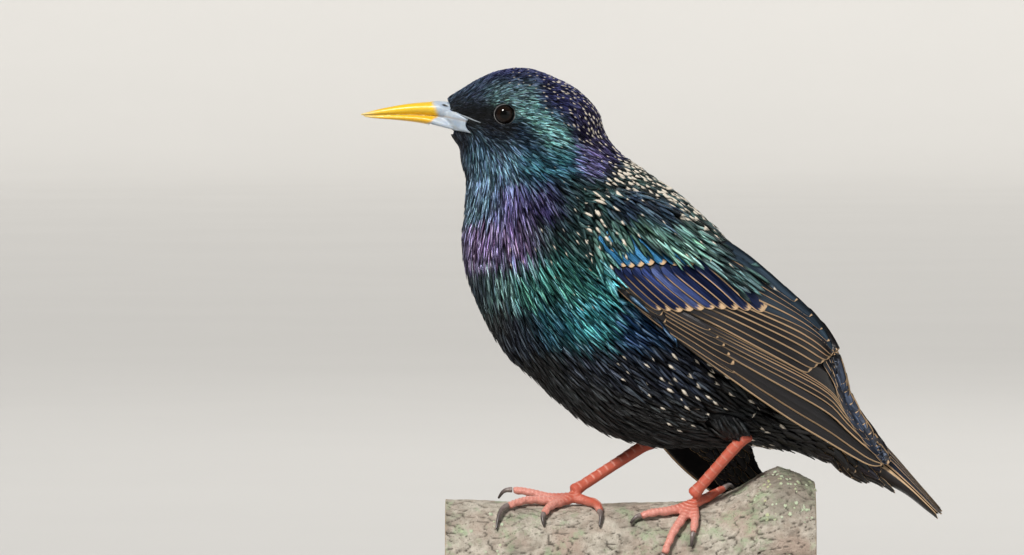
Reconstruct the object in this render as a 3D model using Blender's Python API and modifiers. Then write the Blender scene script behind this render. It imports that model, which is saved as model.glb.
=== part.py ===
"""A common starling standing on a short length of branch, on a plain display stand.

Life size, in metres, +Z up. The bird faces -X and its left side is towards -Y.
The origin is the middle of the underside of the stand's base.
Tables of stations are in millimetres, in the bird's side view (x, z).
"""

import math

import bmesh
import bpy
from mathutils import Matrix, Vector
from mathutils.bvhtree import BVHTree

MM = 0.001
GAP = 0.3 * MM
CLEARANCE = 0.4 * MM

BASE_SIZE = (124.0, 84.0, 9.0)
BASE_CORNER = 1.6
ROD_RADIUS = 3.0
ROD_SIDES = 20
ROD_PLACES = {"stand_rod_front": -27.0, "stand_rod_back": 27.0}
ROD_DEPTH_IN_PERCH = 6.0
SOCKET_OVERRUN = 2.0

PERCH_AXIS_HEIGHT = 48.0
PERCH_RADIUS = 18.5
PERCH_SIDES = 24

BODY_SIDES = 40
TAIL_SIDES = 16
BODY_VOXEL = 1.5
BODY_TRIANGLES = 2200
HEAD_CUT = ((-13.5, 181.5), (-56.2, 173.6))
TRUNK_CUT = ((-4.5, 171.5), (-53.5, 155.0))

EYE_CENTRE = (-41.0, 7.6, 184.4)
EYE_RADIUS = 3.6
EYE_DISH = (5.5, 2.4, 5.2)
EYE_DISH_OUT = 12.3

SHANK_RADIUS = 1.8
TOE_RADIUS = 1.35
CLAW_BASE_RADIUS = 0.95
CLAW_TIP_RADIUS = 0.28

# Neck and trunk: back x, back z, belly x, belly z, half width, widest level from the back.
TRUNK_STATIONS = (
    (-15.6, 186.5, -54.0, 175.2, 10.6, 0.50),
    (-12.6, 182.5, -55.0, 172.2, 12.4, 0.50),
    (-9.7, 177.1, -53.8, 168.4, 14.4, 0.50),
    (-6.4, 172.5, -52.9, 163.2, 17.2, 0.50),
    (-1.4, 169.2, -53.0, 156.2, 20.6, 0.50),
    (4.7, 165.0, -54.0, 147.2, 23.6, 0.50),
    (10.9, 160.8, -53.2, 138.2, 25.8, 0.50),
    (17.4, 155.2, -50.7, 130.2, 27.2, 0.49),
    (24.4, 148.4, -47.2, 122.3, 28.0, 0.48),
    (31.2, 141.0, -41.0, 112.0, 28.0, 0.48),
    (37.4, 133.4, -32.2, 104.0, 27.0, 0.48),
    (43.0, 126.4, -22.8, 95.2, 25.0, 0.48),
    (47.8, 119.6, -10.4, 87.4, 22.2, 0.48),
    (51.6, 113.0, 4.5, 83.6, 18.8, 0.47),
    (55.0, 106.6, 20.0, 83.4, 15.4, 0.46),
    (59.4, 101.0, 35.5, 83.6, 12.4, 0.44),
    (63.6, 95.6, 48.4, 81.2, 10.2, 0.42),
    (67.4, 90.6, 58.0, 77.8, 8.6, 0.40),
)

# Head: crown x, crown z, throat x, throat z, half width, widest level from the crown.
HEAD_STATIONS = (
    (-60.4, 188.4, -59.2, 179.6, 4.2, 0.50),
    (-57.0, 190.3, -56.8, 176.6, 5.8, 0.50),
    (-52.2, 193.2, -52.4, 172.8, 7.6, 0.52),
    (-46.8, 196.2, -46.6, 170.8, 9.4, 0.53),
    (-40.7, 198.1, -39.6, 169.8, 11.0, 0.54),
    (-33.4, 198.2, -32.2, 169.6, 12.4, 0.54),
    (-26.0, 195.5, -24.8, 170.6, 13.0, 0.52),
    (-19.4, 192.0, -18.6, 172.8, 12.0, 0.50),
    (-14.6, 187.6, -14.0, 176.2, 9.4, 0.50),
    (-11.8, 183.4, -11.6, 180.4, 4.0, 0.50),
)

# Tail: top x, top z, under x, under z, half width, widest level from the top.
TAIL_STATIONS = (
    (61.0, 99.4, 52.0, 84.0, 6.0, 0.45),
    (65.8, 93.2, 58.2, 78.8, 8.2, 0.40),
    (70.6, 87.6, 63.8, 74.8, 9.2, 0.35),
    (77.0, 80.6, 72.0, 73.2, 10.2, 0.30),
    (83.2, 73.4, 79.8, 69.6, 11.4, 0.30),
    (88.6, 67.2, 86.4, 64.6, 12.2, 0.35),
    (91.4, 63.9, 89.8, 62.0, 11.6, 0.40),
)

# Folded wing: upper x, upper z, lower x, lower z, y above, y middle, y below, thickness.
WING_STATIONS = (
    (-15.0, 160.0, -17.6, 153.4, 22.6, 23.6, 23.4, 0.8),
    (-8.0, 161.8, -14.6, 144.0, 22.2, 26.6, 27.0, 2.2),
    (3.4, 158.6, -7.0, 131.8, 18.6, 29.2, 29.8, 3.0),
    (15.6, 151.2, 3.6, 121.6, 15.2, 30.6, 30.4, 3.2),
    (28.6, 143.6, 17.0, 112.0, 12.0, 30.8, 29.2, 3.2),
    (40.0, 134.0, 31.6, 101.8, 9.6, 29.2, 26.8, 3.0),
    (50.6, 123.8, 45.2, 92.8, 7.6, 25.6, 23.0, 2.8),
    (57.6, 113.2, 55.6, 86.6, 7.6, 20.8, 19.0, 2.6),
    (60.4, 101.8, 63.4, 81.8, 9.6, 16.4, 15.8, 2.2),
    (66.6, 91.0, 69.2, 78.4, 10.8, 13.6, 13.6, 1.8),
    (73.0, 80.2, 74.4, 77.0, 11.8, 12.2, 12.4, 1.0),
)

# Least height of a wing's outer face over the body, at its edges and added at its middle.
WING_LIFT = (0.9, 0.9)

# Drooped wing on the far side, in the same columns.
DROOPED_WING_STATIONS = (
    (-14.4, 159.0, -17.6, 150.6, 22.4, 23.4, 23.4, 0.8),
    (-6.6, 160.6, -16.8, 138.2, 21.8, 27.0, 27.2, 2.2),
    (4.0, 157.0, -14.6, 124.6, 19.4, 29.8, 29.4, 3.0),
    (14.6, 148.6, -10.4, 112.2, 17.8, 31.4, 28.4, 3.2),
    (23.0, 137.6, -4.8, 100.8, 18.2, 31.6, 26.2, 3.2),
    (28.4, 124.6, 1.0, 91.0, 19.4, 30.4, 24.4, 3.0),
    (30.8, 111.4, 6.8, 82.8, 20.8, 28.4, 23.6, 2.8),
    (31.6, 99.2, 13.4, 75.8, 21.8, 26.6, 23.4, 2.4),
    (33.0, 88.4, 20.2, 70.2, 22.4, 25.4, 23.4, 2.0),
    (36.2, 79.2, 28.0, 64.0, 23.0, 24.8, 23.4, 1.6),
    (42.6, 66.6, 38.4, 56.2, 23.4, 24.4, 23.6, 1.3),
    (49.8, 53.6, 48.6, 50.8, 23.6, 24.0, 23.6, 0.9),
)

# Bill: top x, top z, under x, under z, half width.
UPPER_BILL_STATIONS = (
    (-54.0, 187.2, -52.0, 181.6, 3.7),
    (-60.0, 188.3, -57.6, 182.7, 4.2),
    (-64.0, 188.0, -62.8, 184.0, 3.8),
    (-69.0, 187.8, -68.4, 184.4, 3.2),
    (-74.0, 187.2, -73.8, 184.2, 2.6),
    (-79.0, 186.2, -79.0, 183.8, 1.9),
    (-82.4, 185.2, -82.6, 183.5, 1.2),
    (-84.4, 184.4, -84.5, 183.4, 0.6),
)
LOWER_BILL_STATIONS = (
    (-47.6, 180.2, -49.6, 178.0, 4.2),
    (-53.0, 181.2, -53.8, 178.0, 4.7),
    (-57.8, 182.3, -58.0, 179.0, 4.4),
    (-62.8, 183.6, -62.8, 181.0, 3.7),
    (-68.4, 184.0, -68.4, 181.8, 3.0),
    (-73.8, 183.8, -73.8, 182.2, 2.3),
    (-79.0, 183.4, -79.0, 182.4, 1.5),
    (-83.4, 183.1, -83.4, 182.6, 0.7),
)

# Legs: knee inside the plumage, ankle and foot as x, y, z.
LEGS = {
    "left": {"hip": (22.0, -12.0, 95.0), "ankle": (32.2, -13.2, 88.4), "foot": (15.8, -9.4, 69.3)},
    "right": {"hip": (-4.0, 9.0, 96.0), "ankle": (4.0, 9.6, 85.0), "foot": (-20.4, -1.6, 69.9)},
}

# Toes on the perch: places as (x, turn in degrees from its top towards -Y, height over the bark).
TOES = {
    "left": {
        "inner": ((15.8, 28, 2.2), (9.4, 35, 1.5), (4.6, 38, 1.8), (0.2, 41, 1.4)),
        "middle": ((15.8, 28, 2.2), (12.4, 46, 1.5), (9.6, 60, 1.8), (7.0, 78, 1.4)),
        "outer": ((15.8, 28, 2.2), (16.4, 38, 1.5), (16.4, 48, 1.8), (15.8, 60, 1.4)),
        "hind": ((15.8, 28, 2.2), (19.4, 18, 1.5), (22.8, 8, 1.6), (25.4, -2, 1.4)),
    },
    "right": {
        "inner": ((-20.4, 5, 2.4), (-24.2, 14, 1.5), (-27.2, 24, 1.7), (-29.2, 36, 1.4)),
        "middle": ((-20.4, 5, 2.4), (-26.6, 10, 1.5), (-33.6, 14, 1.8), (-40.0, 26, 1.4)),
        "outer": ((-20.4, 5, 2.4), (-27.4, -4, 1.8), (-33.4, -6, 3.0), (-38.6, -7, 3.4)),
        "hind": ((-20.4, 5, 2.4), (-16.6, 10, 1.6), (-13.2, 20, 1.6), (-12.4, 33, 1.4)),
    },
}
CLAWS = {
    "left": {
        "inner": ((0.2, 41, 1.4), (-1.4, 43, 1.6), (-3.0, 47, 0.6)),
        "middle": ((7.0, 78, 1.4), (6.0, 84, 1.7), (5.0, 93, 0.6)),
        "outer": ((15.8, 60, 1.4), (15.5, 65, 1.6), (15.2, 72, 0.6)),
        "hind": ((25.4, -2, 1.4), (27.2, -9, 1.8), (28.6, -18, 0.6)),
    },
    "right": {
        "inner": ((-29.2, 36, 1.4), (-29.6, 42, 1.6), (-29.2, 49, 0.6)),
        "middle": ((-40.0, 26, 1.4), (-42.4, 36, 1.9), (-43.4, 52, 0.6)),
        "outer": ((-38.6, -7, 3.4), (-41.2, -8, 3.0), (-42.8, -9, 0.8)),
        "hind": ((-12.4, 33, 1.4), (-12.0, 40, 1.7), (-12.4, 50, 0.6)),
    },
}

PLUMAGE = ((0.012, 0.022, 0.030), 0.38, 0.45)
WING_FEATHER = ((0.016, 0.014, 0.014), 0.45, 0.10)
BILL_HORN = ((0.86, 0.66, 0.08), 0.42, 0.0)
EYE_BLACK = ((0.010, 0.007, 0.006), 0.05, 0.0)
LEG_SKIN = ((0.62, 0.20, 0.12), 0.50, 0.0)
CLAW_HORN = ((0.20, 0.15, 0.13), 0.40, 0.0)
BARK = ((0.33, 0.30, 0.25), 0.90, 0.0)
BASE_WOOD = ((0.22, 0.13, 0.07), 0.45, 0.0)
ROD_STEEL = ((0.50, 0.50, 0.50), 0.30, 1.0)


def clear_scene():
    for existing in list(bpy.data.objects):
        bpy.data.objects.remove(existing, do_unlink=True)


def new_collection(name):
    collection = bpy.data.collections.new(name)
    bpy.context.scene.collection.children.link(collection)
    return collection


def finish_of(name, look):
    """A plain Principled material of this colour, roughness and metallic value."""
    colour, roughness, metallic = look
    material = bpy.data.materials.new(name)
    material.use_nodes = True
    shader = material.node_tree.nodes["Principled BSDF"]
    shader.inputs["Base Color"].default_value = (*colour, 1.0)
    shader.inputs["Roughness"].default_value = roughness
    shader.inputs["Metallic"].default_value = metallic
    return material


def object_of(name, mesh, collection, look=None):
    made = bpy.data.objects.new(name, mesh)
    collection.objects.link(made)
    if look:
        mesh.materials.clear()
        mesh.materials.append(finish_of(name, look))
        mesh.shade_smooth()
        mesh.set_sharp_from_angle(angle=math.radians(50))
    return made


def mark_cutter(made):
    made.hide_render = True
    made.display_type = "WIRE"
    return made


def evaluated_mesh(made):
    graph = bpy.context.evaluated_depsgraph_get()
    return bpy.data.meshes.new_from_object(made.evaluated_get(graph))


def power(value, exponent):
    return math.copysign(abs(value) ** exponent, value)


def between(rows, t):
    """A smooth curve through rows of numbers, from the first at t = 0 to the last at t = 1."""
    place = t * (len(rows) - 1)
    first = min(int(place), len(rows) - 2)
    part = place - first
    before = rows[max(first - 1, 0)]
    start, end = rows[first], rows[first + 1]
    after = rows[min(first + 2, len(rows) - 1)]
    weights = (
        -0.5 * part**3 + part**2 - 0.5 * part,
        1.5 * part**3 - 2.5 * part**2 + 1,
        -1.5 * part**3 + 2 * part**2 + 0.5 * part,
        0.5 * part**3 - 0.5 * part**2,
    )
    columns = zip(before, start, end, after)
    return [sum(w * value for w, value in zip(weights, column)) for column in columns]


def mesh_from_rings(name, rings):
    """A closed mesh through rings of as many points each, capped at both ends."""
    shape = bmesh.new()
    rows = [[shape.verts.new(point) for point in ring] for ring in rings]
    for row, following in zip(rows, rows[1:]):
        for i, corner in enumerate(row):
            j = (i + 1) % len(row)
            shape.faces.new((corner, row[j], following[j], following[i]))
    shape.faces.new(tuple(reversed(rows[0])))
    shape.faces.new(rows[-1])
    bmesh.ops.recalc_face_normals(shape, faces=shape.faces)
    mesh = bpy.data.meshes.new(name)
    shape.to_mesh(mesh)
    shape.free()
    return mesh


def oval_ring(station, sides, fullness=0.92):
    """One section of the body: an oval between the back and the belly points."""
    top_x, top_z, low_x, low_z, half_width, widest = station
    top = Vector((top_x, 0.0, top_z)) * MM
    low = Vector((low_x, 0.0, low_z)) * MM
    centre = top.lerp(low, widest)
    ring = []
    for i in range(sides):
        angle = 2 * math.pi * i / sides
        across = power(math.cos(angle), fullness) * half_width * MM
        height = power(math.sin(angle), fullness)
        reach = (top - centre) * height if height >= 0 else (centre - low) * height
        ring.append(centre + reach + Vector((0.0, across, 0.0)))
    return ring


def body_loft(name, stations, rings_per_station, sides=BODY_SIDES):
    count = (len(stations) - 1) * rings_per_station
    rings = [oval_ring(between(stations, i / count), sides) for i in range(count + 1)]
    return mesh_from_rings(name, rings)


def side_reach(body, x, z, side):
    """How far the body reaches sideways at this point of its side view."""
    start = Vector((x, side * 0.2, z))
    hit = body.ray_cast(start, Vector((0.0, -side, 0.0)))[0]
    return abs(hit.y) if hit else 0.0


def wing_mesh(name, stations, side, body, rings=16, steps=6):
    """A curved blade that bulges through three widths and nowhere sinks into the body."""
    edge_thickness = 0.7 * MM
    loops = []
    for i in range(rings + 1):
        row = between(stations, i / rings)
        upper = Vector((row[0], 0.0, row[1])) * MM
        lower = Vector((row[2], 0.0, row[3])) * MM
        above, middle, below, thickness = (value * MM for value in row[4:])
        outer = []
        inner = []
        for j in range(steps + 1):
            s = j / steps
            bulge = above * (1 - s) * (1 - 2 * s) + 4 * middle * s * (1 - s) + below * s * (2 * s - 1)
            depth = edge_thickness + (thickness - edge_thickness) * math.sin(math.pi * s)
            place = upper.lerp(lower, s)
            lift = WING_LIFT[0] + WING_LIFT[1] * math.sin(math.pi * s)
            bulge = max(bulge, side_reach(body, place.x, place.z, side) + lift * MM)
            outer.append(place + Vector((0.0, side * bulge, 0.0)))
            inner.append(place + Vector((0.0, side * (bulge - depth), 0.0)))
        loops.append(outer + inner[::-1])
    return mesh_from_rings(name, loops)


def tube_mesh(name, points, radii, bevel_resolution=2):
    """A round tube along points, with a radius at each, as a welded mesh with closed ends."""
    curve = bpy.data.curves.new(name, "CURVE")
    curve.dimensions = "3D"
    curve.bevel_depth = 1.0
    curve.bevel_resolution = bevel_resolution
    curve.use_fill_caps = True
    spline = curve.splines.new("POLY")
    spline.points.add(len(points) - 1)
    for slot, point, radius in zip(spline.points, points, radii):
        slot.co = (*point, 1.0)
        slot.radius = radius
    guide = bpy.data.objects.new(name, curve)
    bpy.context.scene.collection.objects.link(guide)
    mesh = evaluated_mesh(guide)
    bpy.data.objects.remove(guide, do_unlink=True)
    shape = bmesh.new()
    shape.from_mesh(mesh)
    bmesh.ops.remove_doubles(shape, verts=shape.verts, dist=0.00001)
    bmesh.ops.recalc_face_normals(shape, faces=shape.faces)
    shape.to_mesh(mesh)
    shape.free()
    return mesh


def joined_mesh(name, meshes):
    shape = bmesh.new()
    for mesh in meshes:
        shape.from_mesh(mesh)
    joined = bpy.data.meshes.new(name)
    shape.to_mesh(joined)
    shape.free()
    return joined


def fused_mesh(name, meshes, voxel, triangles, smoothing=2):
    """Overlapping closed shapes made one smooth closed skin of about so many triangles."""
    lump = bpy.data.objects.new(name, joined_mesh(name, meshes))
    bpy.context.scene.collection.objects.link(lump)
    fuse = lump.modifiers.new("fuse", "REMESH")
    fuse.mode = "VOXEL"
    fuse.voxel_size = voxel * MM
    relax = lump.modifiers.new("relax", "SMOOTH")
    relax.factor = 0.5
    relax.iterations = smoothing
    quads = len(evaluated_mesh(lump).polygons)
    thin = lump.modifiers.new("thin", "DECIMATE")
    thin.ratio = min(1.0, triangles / (2 * quads))
    mesh = evaluated_mesh(lump)
    bpy.data.objects.remove(lump, do_unlink=True)
    return mesh


def piece_between(name, mesh, planes):
    """The part of a closed mesh in front of each (point, normal) plane, its cuts filled."""
    shape = bmesh.new()
    shape.from_mesh(mesh)
    for point, normal in planes:
        everything = list(shape.verts) + list(shape.edges) + list(shape.faces)
        cut = bmesh.ops.bisect_plane(
            shape, geom=everything, plane_co=point, plane_no=normal, clear_inner=True
        )
        rim = [edge for edge in cut["geom_cut"] if isinstance(edge, bmesh.types.BMEdge)]
        bmesh.ops.edgeloop_fill(shape, edges=rim)
    bmesh.ops.triangulate(shape, faces=shape.faces)
    bmesh.ops.recalc_face_normals(shape, faces=shape.faces)
    piece = bpy.data.meshes.new(name)
    shape.to_mesh(piece)
    shape.free()
    return piece


def grown_mesh(name, mesh, distance):
    """A copy of a closed mesh whose skin stands out by this distance."""
    shape = bmesh.new()
    shape.from_mesh(mesh)
    shape.normal_update()
    moves = [(vert, vert.normal * distance * vert.calc_shell_factor()) for vert in shape.verts]
    for vert, move in moves:
        vert.co += move
    grown = bpy.data.meshes.new(name)
    shape.to_mesh(grown)
    shape.free()
    return grown


def cut_away(made, cutter, solver="EXACT"):
    boolean = made.modifiers.new("clear of " + cutter.name, "BOOLEAN")
    boolean.operation = "DIFFERENCE"
    boolean.solver = solver
    boolean.object = cutter


def side_plane(line, offset, forward):
    """A cut across the body along a side-view line, moved along the body by an offset."""
    start = Vector((line[0][0], 0.0, line[0][1])) * MM
    end = Vector((line[1][0], 0.0, line[1][1])) * MM
    normal = (end - start).cross(Vector((0.0, 1.0, 0.0))).normalized()
    if normal.z < 0:
        normal.negate()
    point = start + normal * offset
    return point, normal if forward else -normal


def ellipsoid_mesh(name, centre, radii, segments=24, rings=14):
    shape = bmesh.new()
    bmesh.ops.create_uvsphere(shape, u_segments=segments, v_segments=rings, radius=1.0)
    place = Matrix.Translation(Vector(centre) * MM) @ Matrix.Diagonal((*(r * MM for r in radii), 1.0))
    bmesh.ops.transform(shape, matrix=place, verts=shape.verts)
    mesh = bpy.data.meshes.new(name)
    shape.to_mesh(mesh)
    shape.free()
    return mesh


def perch_centre(x):
    """Height of the branch's middle line, and its bow towards the back."""
    knob = math.exp(-(((x - 42.0) / 10.0) ** 2))
    rise = 5.2 / (1 + math.exp(-(x - 26.0) / 5.0))
    front = 1.6 * math.exp(-(((x + 62.0) / 12.0) ** 2))
    return Vector((x, 0.9 * math.sin(x / 26.0), PERCH_AXIS_HEIGHT + rise + 1.2 * knob + front))


def perch_radius(x, angle):
    """Radius of the branch at x, with shallow lumps and a knob on its top; angle is from +Z to -Y."""
    knob = 5.2 * math.exp(-(((x - 42.5) / 9.0) ** 2)) * math.exp(-((angle / 0.95) ** 2))
    lumps = 0.35 * math.sin(3 * angle + x / 9.0) + 0.3 * math.sin(2 * angle - x / 6.5 + 1.0)
    return PERCH_RADIUS + knob + lumps


def on_perch(x, degrees, height=0.0):
    angle = math.radians(degrees)
    reach = perch_radius(x, angle) + height
    turned = Vector((0.0, -math.sin(angle), math.cos(angle))) * reach
    return (perch_centre(x) + turned) * MM


def perch_mesh():
    start, end, step = -59.0, 53.0, 5.6
    rings = []
    for i in range(round((end - start) / step) + 1):
        x = start + i * step
        degrees = (360.0 * j / PERCH_SIDES - 180.0 for j in range(PERCH_SIDES))
        rings.append([on_perch(x, turn) for turn in degrees])
    return mesh_from_rings("perch", rings)


def smooth_path(points, steps):
    return [Vector(between(points, i / steps)) for i in range(steps + 1)]


def take_active(name, collection):
    """The object that a primitive operator has just added, named and moved to a collection."""
    added = bpy.context.object
    added.name = name
    for home in list(added.users_collection):
        home.objects.unlink(added)
    collection.objects.link(added)
    return added


def add_upright(name, collection, place, low, high, radius):
    """A round rod or hole at this place in plan, from one height to another."""
    bpy.ops.mesh.primitive_cylinder_add(
        vertices=ROD_SIDES,
        radius=radius,
        depth=high - low,
        location=(place.x, place.y, (high + low) / 2),
    )
    return take_active(name, collection)


def add_base(parts):
    length, width, height = (value * MM for value in BASE_SIZE)
    bpy.ops.mesh.primitive_cube_add(size=1.0)
    base = take_active("stand_base", parts)
    base.data.transform(Matrix.Diagonal((length, width, height, 1.0)))
    base.location = (0.0, 0.0, height / 2)
    base.data.materials.append(finish_of("stand_base", BASE_WOOD))
    edge = base.modifiers.new("eased edges", "BEVEL")
    edge.width = BASE_CORNER * MM
    edge.segments = 2
    return height


def add_perch_and_stand(parts, cutters):
    """The branch on its two rods and base; returns the room that the toes keep clear of."""
    perch = object_of("perch", perch_mesh(), parts, BARK)
    perch_room = grown_mesh("perch_room", perch.data, GAP)
    base_top = add_base(parts)
    for name, x in ROD_PLACES.items():
        place = perch_centre(x) * MM
        under = on_perch(x, 180).z
        top = under + ROD_DEPTH_IN_PERCH * MM
        rod = add_upright(name, parts, place, base_top + GAP, top, ROD_RADIUS * MM)
        rod.data.materials.append(finish_of(name, ROD_STEEL))
        rod.data.shade_smooth()
        rod.data.set_sharp_from_angle(angle=math.radians(50))
        low = under - SOCKET_OVERRUN * MM
        socket = add_upright("socket_for_" + name, cutters, place, low, top + GAP, ROD_RADIUS * MM + GAP)
        cut_away(perch, mark_cutter(socket))
    return mark_cutter(object_of("perch_room", perch_room, cutters))


def add_body(parts, cutters):
    """Head, neck and trunk, modelled as one body and parted by two thin cuts."""
    lofts = [
        body_loft("trunk_loft", TRUNK_STATIONS, 3),
        body_loft("head_loft", HEAD_STATIONS, 3),
    ]
    whole = fused_mesh("whole_body", lofts, BODY_VOXEL, BODY_TRIANGLES)
    half = GAP / 2
    head = object_of(
        "head", piece_between("head", whole, [side_plane(HEAD_CUT, half, True)]), parts, PLUMAGE
    )
    neck_planes = [side_plane(HEAD_CUT, -half, False), side_plane(TRUNK_CUT, half, True)]
    object_of("neck", piece_between("neck", whole, neck_planes), parts, PLUMAGE)
    trunk_planes = [side_plane(TRUNK_CUT, -half, False)]
    object_of("trunk", piece_between("trunk", whole, trunk_planes), parts, PLUMAGE)
    clearance = mark_cutter(
        object_of("body_clearance", grown_mesh("body_clearance", whole, CLEARANCE), cutters)
    )
    return head, clearance


def add_eyes(parts, cutters, head):
    """Eyeballs in sockets, each at the bottom of a shallow dish in the side of the face."""
    x, y, z = EYE_CENTRE
    for name, side in (("left", -1), ("right", 1)):
        centre = (x, side * y, z)
        object_of("eye_" + name, ellipsoid_mesh("eye", centre, (EYE_RADIUS,) * 3, 14, 8), parts, EYE_BLACK)
        socket_radius = EYE_RADIUS + GAP / MM
        dish = ellipsoid_mesh("dish", (x, side * EYE_DISH_OUT, z), EYE_DISH, 16, 10)
        cut_away(head, mark_cutter(object_of("eye_dish_" + name, dish, cutters)), "MANIFOLD")
        socket = ellipsoid_mesh("socket", centre, (socket_radius,) * 3, 14, 8)
        cut_away(head, mark_cutter(object_of("eye_socket_" + name, socket, cutters)), "MANIFOLD")


def bill_mesh(name, stations, sides=10):
    rings = []
    count = (len(stations) - 1) * 2
    for i in range(count + 1):
        row = between(stations, i / count)
        rings.append(oval_ring((*row, 0.5), sides, fullness=0.85))
    return mesh_from_rings(name, rings)


def add_bill(parts, cutters, head):
    halves = []
    for name, stations in (("bill_upper", UPPER_BILL_STATIONS), ("bill_lower", LOWER_BILL_STATIONS)):
        mesh = bill_mesh(name, stations)
        halves.append(mesh)
        object_of(name, mesh, parts, BILL_HORN)
    closed = fused_mesh("bill_room", halves, 0.4, 420, 0)
    room = object_of("bill_room", grown_mesh("bill_room", closed, CLEARANCE), cutters)
    cut_away(head, mark_cutter(room), "MANIFOLD")


def add_tail(parts, body_clearance):
    tail = object_of("tail", body_loft("tail", TAIL_STATIONS, 2, TAIL_SIDES), parts, WING_FEATHER)
    cut_away(tail, body_clearance)
    return tail


def add_wings(parts, cutters, body_clearance, tail):
    shape = bmesh.new()
    shape.from_mesh(body_clearance.data)
    body = BVHTree.FromBMesh(shape)
    shape.free()
    wings = (("wing_left", WING_STATIONS, -1), ("wing_right", DROOPED_WING_STATIONS, 1))
    tail_room = grown_mesh("tail_room", evaluated_mesh(tail), CLEARANCE)
    tail_clearance = mark_cutter(object_of("tail_room", tail_room, cutters))
    for name, stations, side in wings:
        wing = object_of(name, wing_mesh(name, stations, side, body), parts, WING_FEATHER)
        cut_away(wing, body_clearance)
        if side < 0:
            cut_away(wing, tail_clearance)


def leg_points(side):
    leg = LEGS[side]
    ankle = Vector(leg["ankle"]) * MM
    foot = Vector(leg["foot"]) * MM
    return Vector(leg["hip"]) * MM, ankle, foot


def add_legs(parts, cutters, body_clearance, perch_room):
    for side in LEGS:
        hip, ankle, foot = leg_points(side)
        shank = tube_mesh(
            "shank",
            [ankle.lerp(foot, part) for part in (0.02, 0.12, 0.5, 0.9)],
            [radius * MM for radius in (2.3, 2.0, SHANK_RADIUS, 1.85)],
        )
        heel = tube_mesh("heel", [ankle.lerp(foot, 0.86), foot], [1.85 * MM, 2.1 * MM])
        toes = [heel]
        for toe in TOES[side].values():
            path = smooth_path([on_perch(*place) for place in toe], 7)
            radii = [TOE_RADIUS * MM * (1.25 - 0.35 * i / 7) for i in range(8)]
            toes.append(tube_mesh("toe", path, radii))
        foot_mesh = fused_mesh("foot_" + side, toes, 0.4, 420, 1)
        cut_away(object_of("foot_" + side, foot_mesh, parts, LEG_SKIN), perch_room)
        toe_room = mark_cutter(
            object_of("foot_room_" + side, grown_mesh("foot_room", foot_mesh, CLEARANCE), cutters)
        )
        shank_room = mark_cutter(
            object_of("shank_room_" + side, grown_mesh("shank_room", shank, CLEARANCE), cutters)
        )
        shank_piece = object_of("shank_" + side, shank, parts, LEG_SKIN)
        cut_away(shank_piece, toe_room)
        cut_away(shank_piece, body_clearance)
        thigh = tube_mesh(
            "thigh",
            [hip, hip.lerp(ankle, 0.5), hip.lerp(ankle, 0.85), ankle],
            [6.5 * MM, 5.0 * MM, 3.4 * MM, 2.3 * MM],
            3,
        )
        thigh = object_of("thigh_" + side, thigh, parts, PLUMAGE)
        cut_away(thigh, body_clearance)
        cut_away(thigh, shank_room)
        for toe, places in CLAWS[side].items():
            path = smooth_path([on_perch(*place) for place in places], 5)
            radii = [
                (CLAW_BASE_RADIUS + (CLAW_TIP_RADIUS - CLAW_BASE_RADIUS) * i / 5) * MM for i in range(6)
            ]
            claw = object_of(f"claw_{toe}_{side}", tube_mesh("claw", path, radii, 1), parts, CLAW_HORN)
            cut_away(claw, toe_room)
            cut_away(claw, perch_room)


def main():
    clear_scene()
    parts = new_collection("starling")
    cutters = new_collection("cutters")
    perch_room = add_perch_and_stand(parts, cutters)
    head, body_clearance = add_body(parts, cutters)
    add_bill(parts, cutters, head)
    add_eyes(parts, cutters, head)
    tail = add_tail(parts, body_clearance)
    add_wings(parts, cutters, body_clearance, tail)
    add_legs(parts, cutters, body_clearance, perch_room)


main()
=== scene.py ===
"""A still, life-size starling on a short perch and a plain display stand: its looks, round its solid frame.

The bird faces -X and its left side, which the main view shows, is towards -Y. Lengths are metres, but
the tables of the plumage, wings, tail and bill are millimetres in the side view (x, z) unless they say
otherwise.
"""

import math
from typing import NamedTuple

import bmesh
import bpy
import numpy as np
from bpy.props import FloatProperty, FloatVectorProperty, IntProperty, PointerProperty
from mathutils import Matrix, Vector, noise
from mathutils.bvhtree import BVHTree
from mathutils.kdtree import KDTree


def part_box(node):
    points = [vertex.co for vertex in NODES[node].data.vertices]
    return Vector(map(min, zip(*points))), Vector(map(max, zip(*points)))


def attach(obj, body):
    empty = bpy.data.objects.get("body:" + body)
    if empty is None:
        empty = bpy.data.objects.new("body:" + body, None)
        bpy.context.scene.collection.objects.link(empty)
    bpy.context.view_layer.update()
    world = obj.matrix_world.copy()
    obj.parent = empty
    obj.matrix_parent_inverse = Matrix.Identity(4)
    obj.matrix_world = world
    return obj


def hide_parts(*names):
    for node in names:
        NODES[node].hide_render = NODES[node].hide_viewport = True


bl_info = {
    "name": "Starling on a perch",
    "version": (1, 0, 0),
    "blender": (4, 5, 0),
    "location": "3D View > Sidebar > Starling",
    "description": "Builds the skin, feather coat, bare parts, perch and stand of a still starling",
    "category": "Object",
}

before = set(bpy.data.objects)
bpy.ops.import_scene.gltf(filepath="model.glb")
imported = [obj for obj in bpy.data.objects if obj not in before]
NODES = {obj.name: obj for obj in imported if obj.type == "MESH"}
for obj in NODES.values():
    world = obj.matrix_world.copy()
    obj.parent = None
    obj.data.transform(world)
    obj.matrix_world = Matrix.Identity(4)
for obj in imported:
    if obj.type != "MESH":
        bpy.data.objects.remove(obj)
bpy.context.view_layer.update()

MM = 0.001
WELD = 0.00001
FLESH = ("head", "neck", "trunk", "thigh_left", "thigh_right", "wing_left", "wing_right", "tail")
SIDES = {"left": -1, "right": 1}
TOES = ("inner", "middle", "outer", "hind")


def colour_of(name, words, values):
    return FloatVectorProperty(name=name, description=words, default=values, subtype="COLOR", min=0, max=1)


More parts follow.
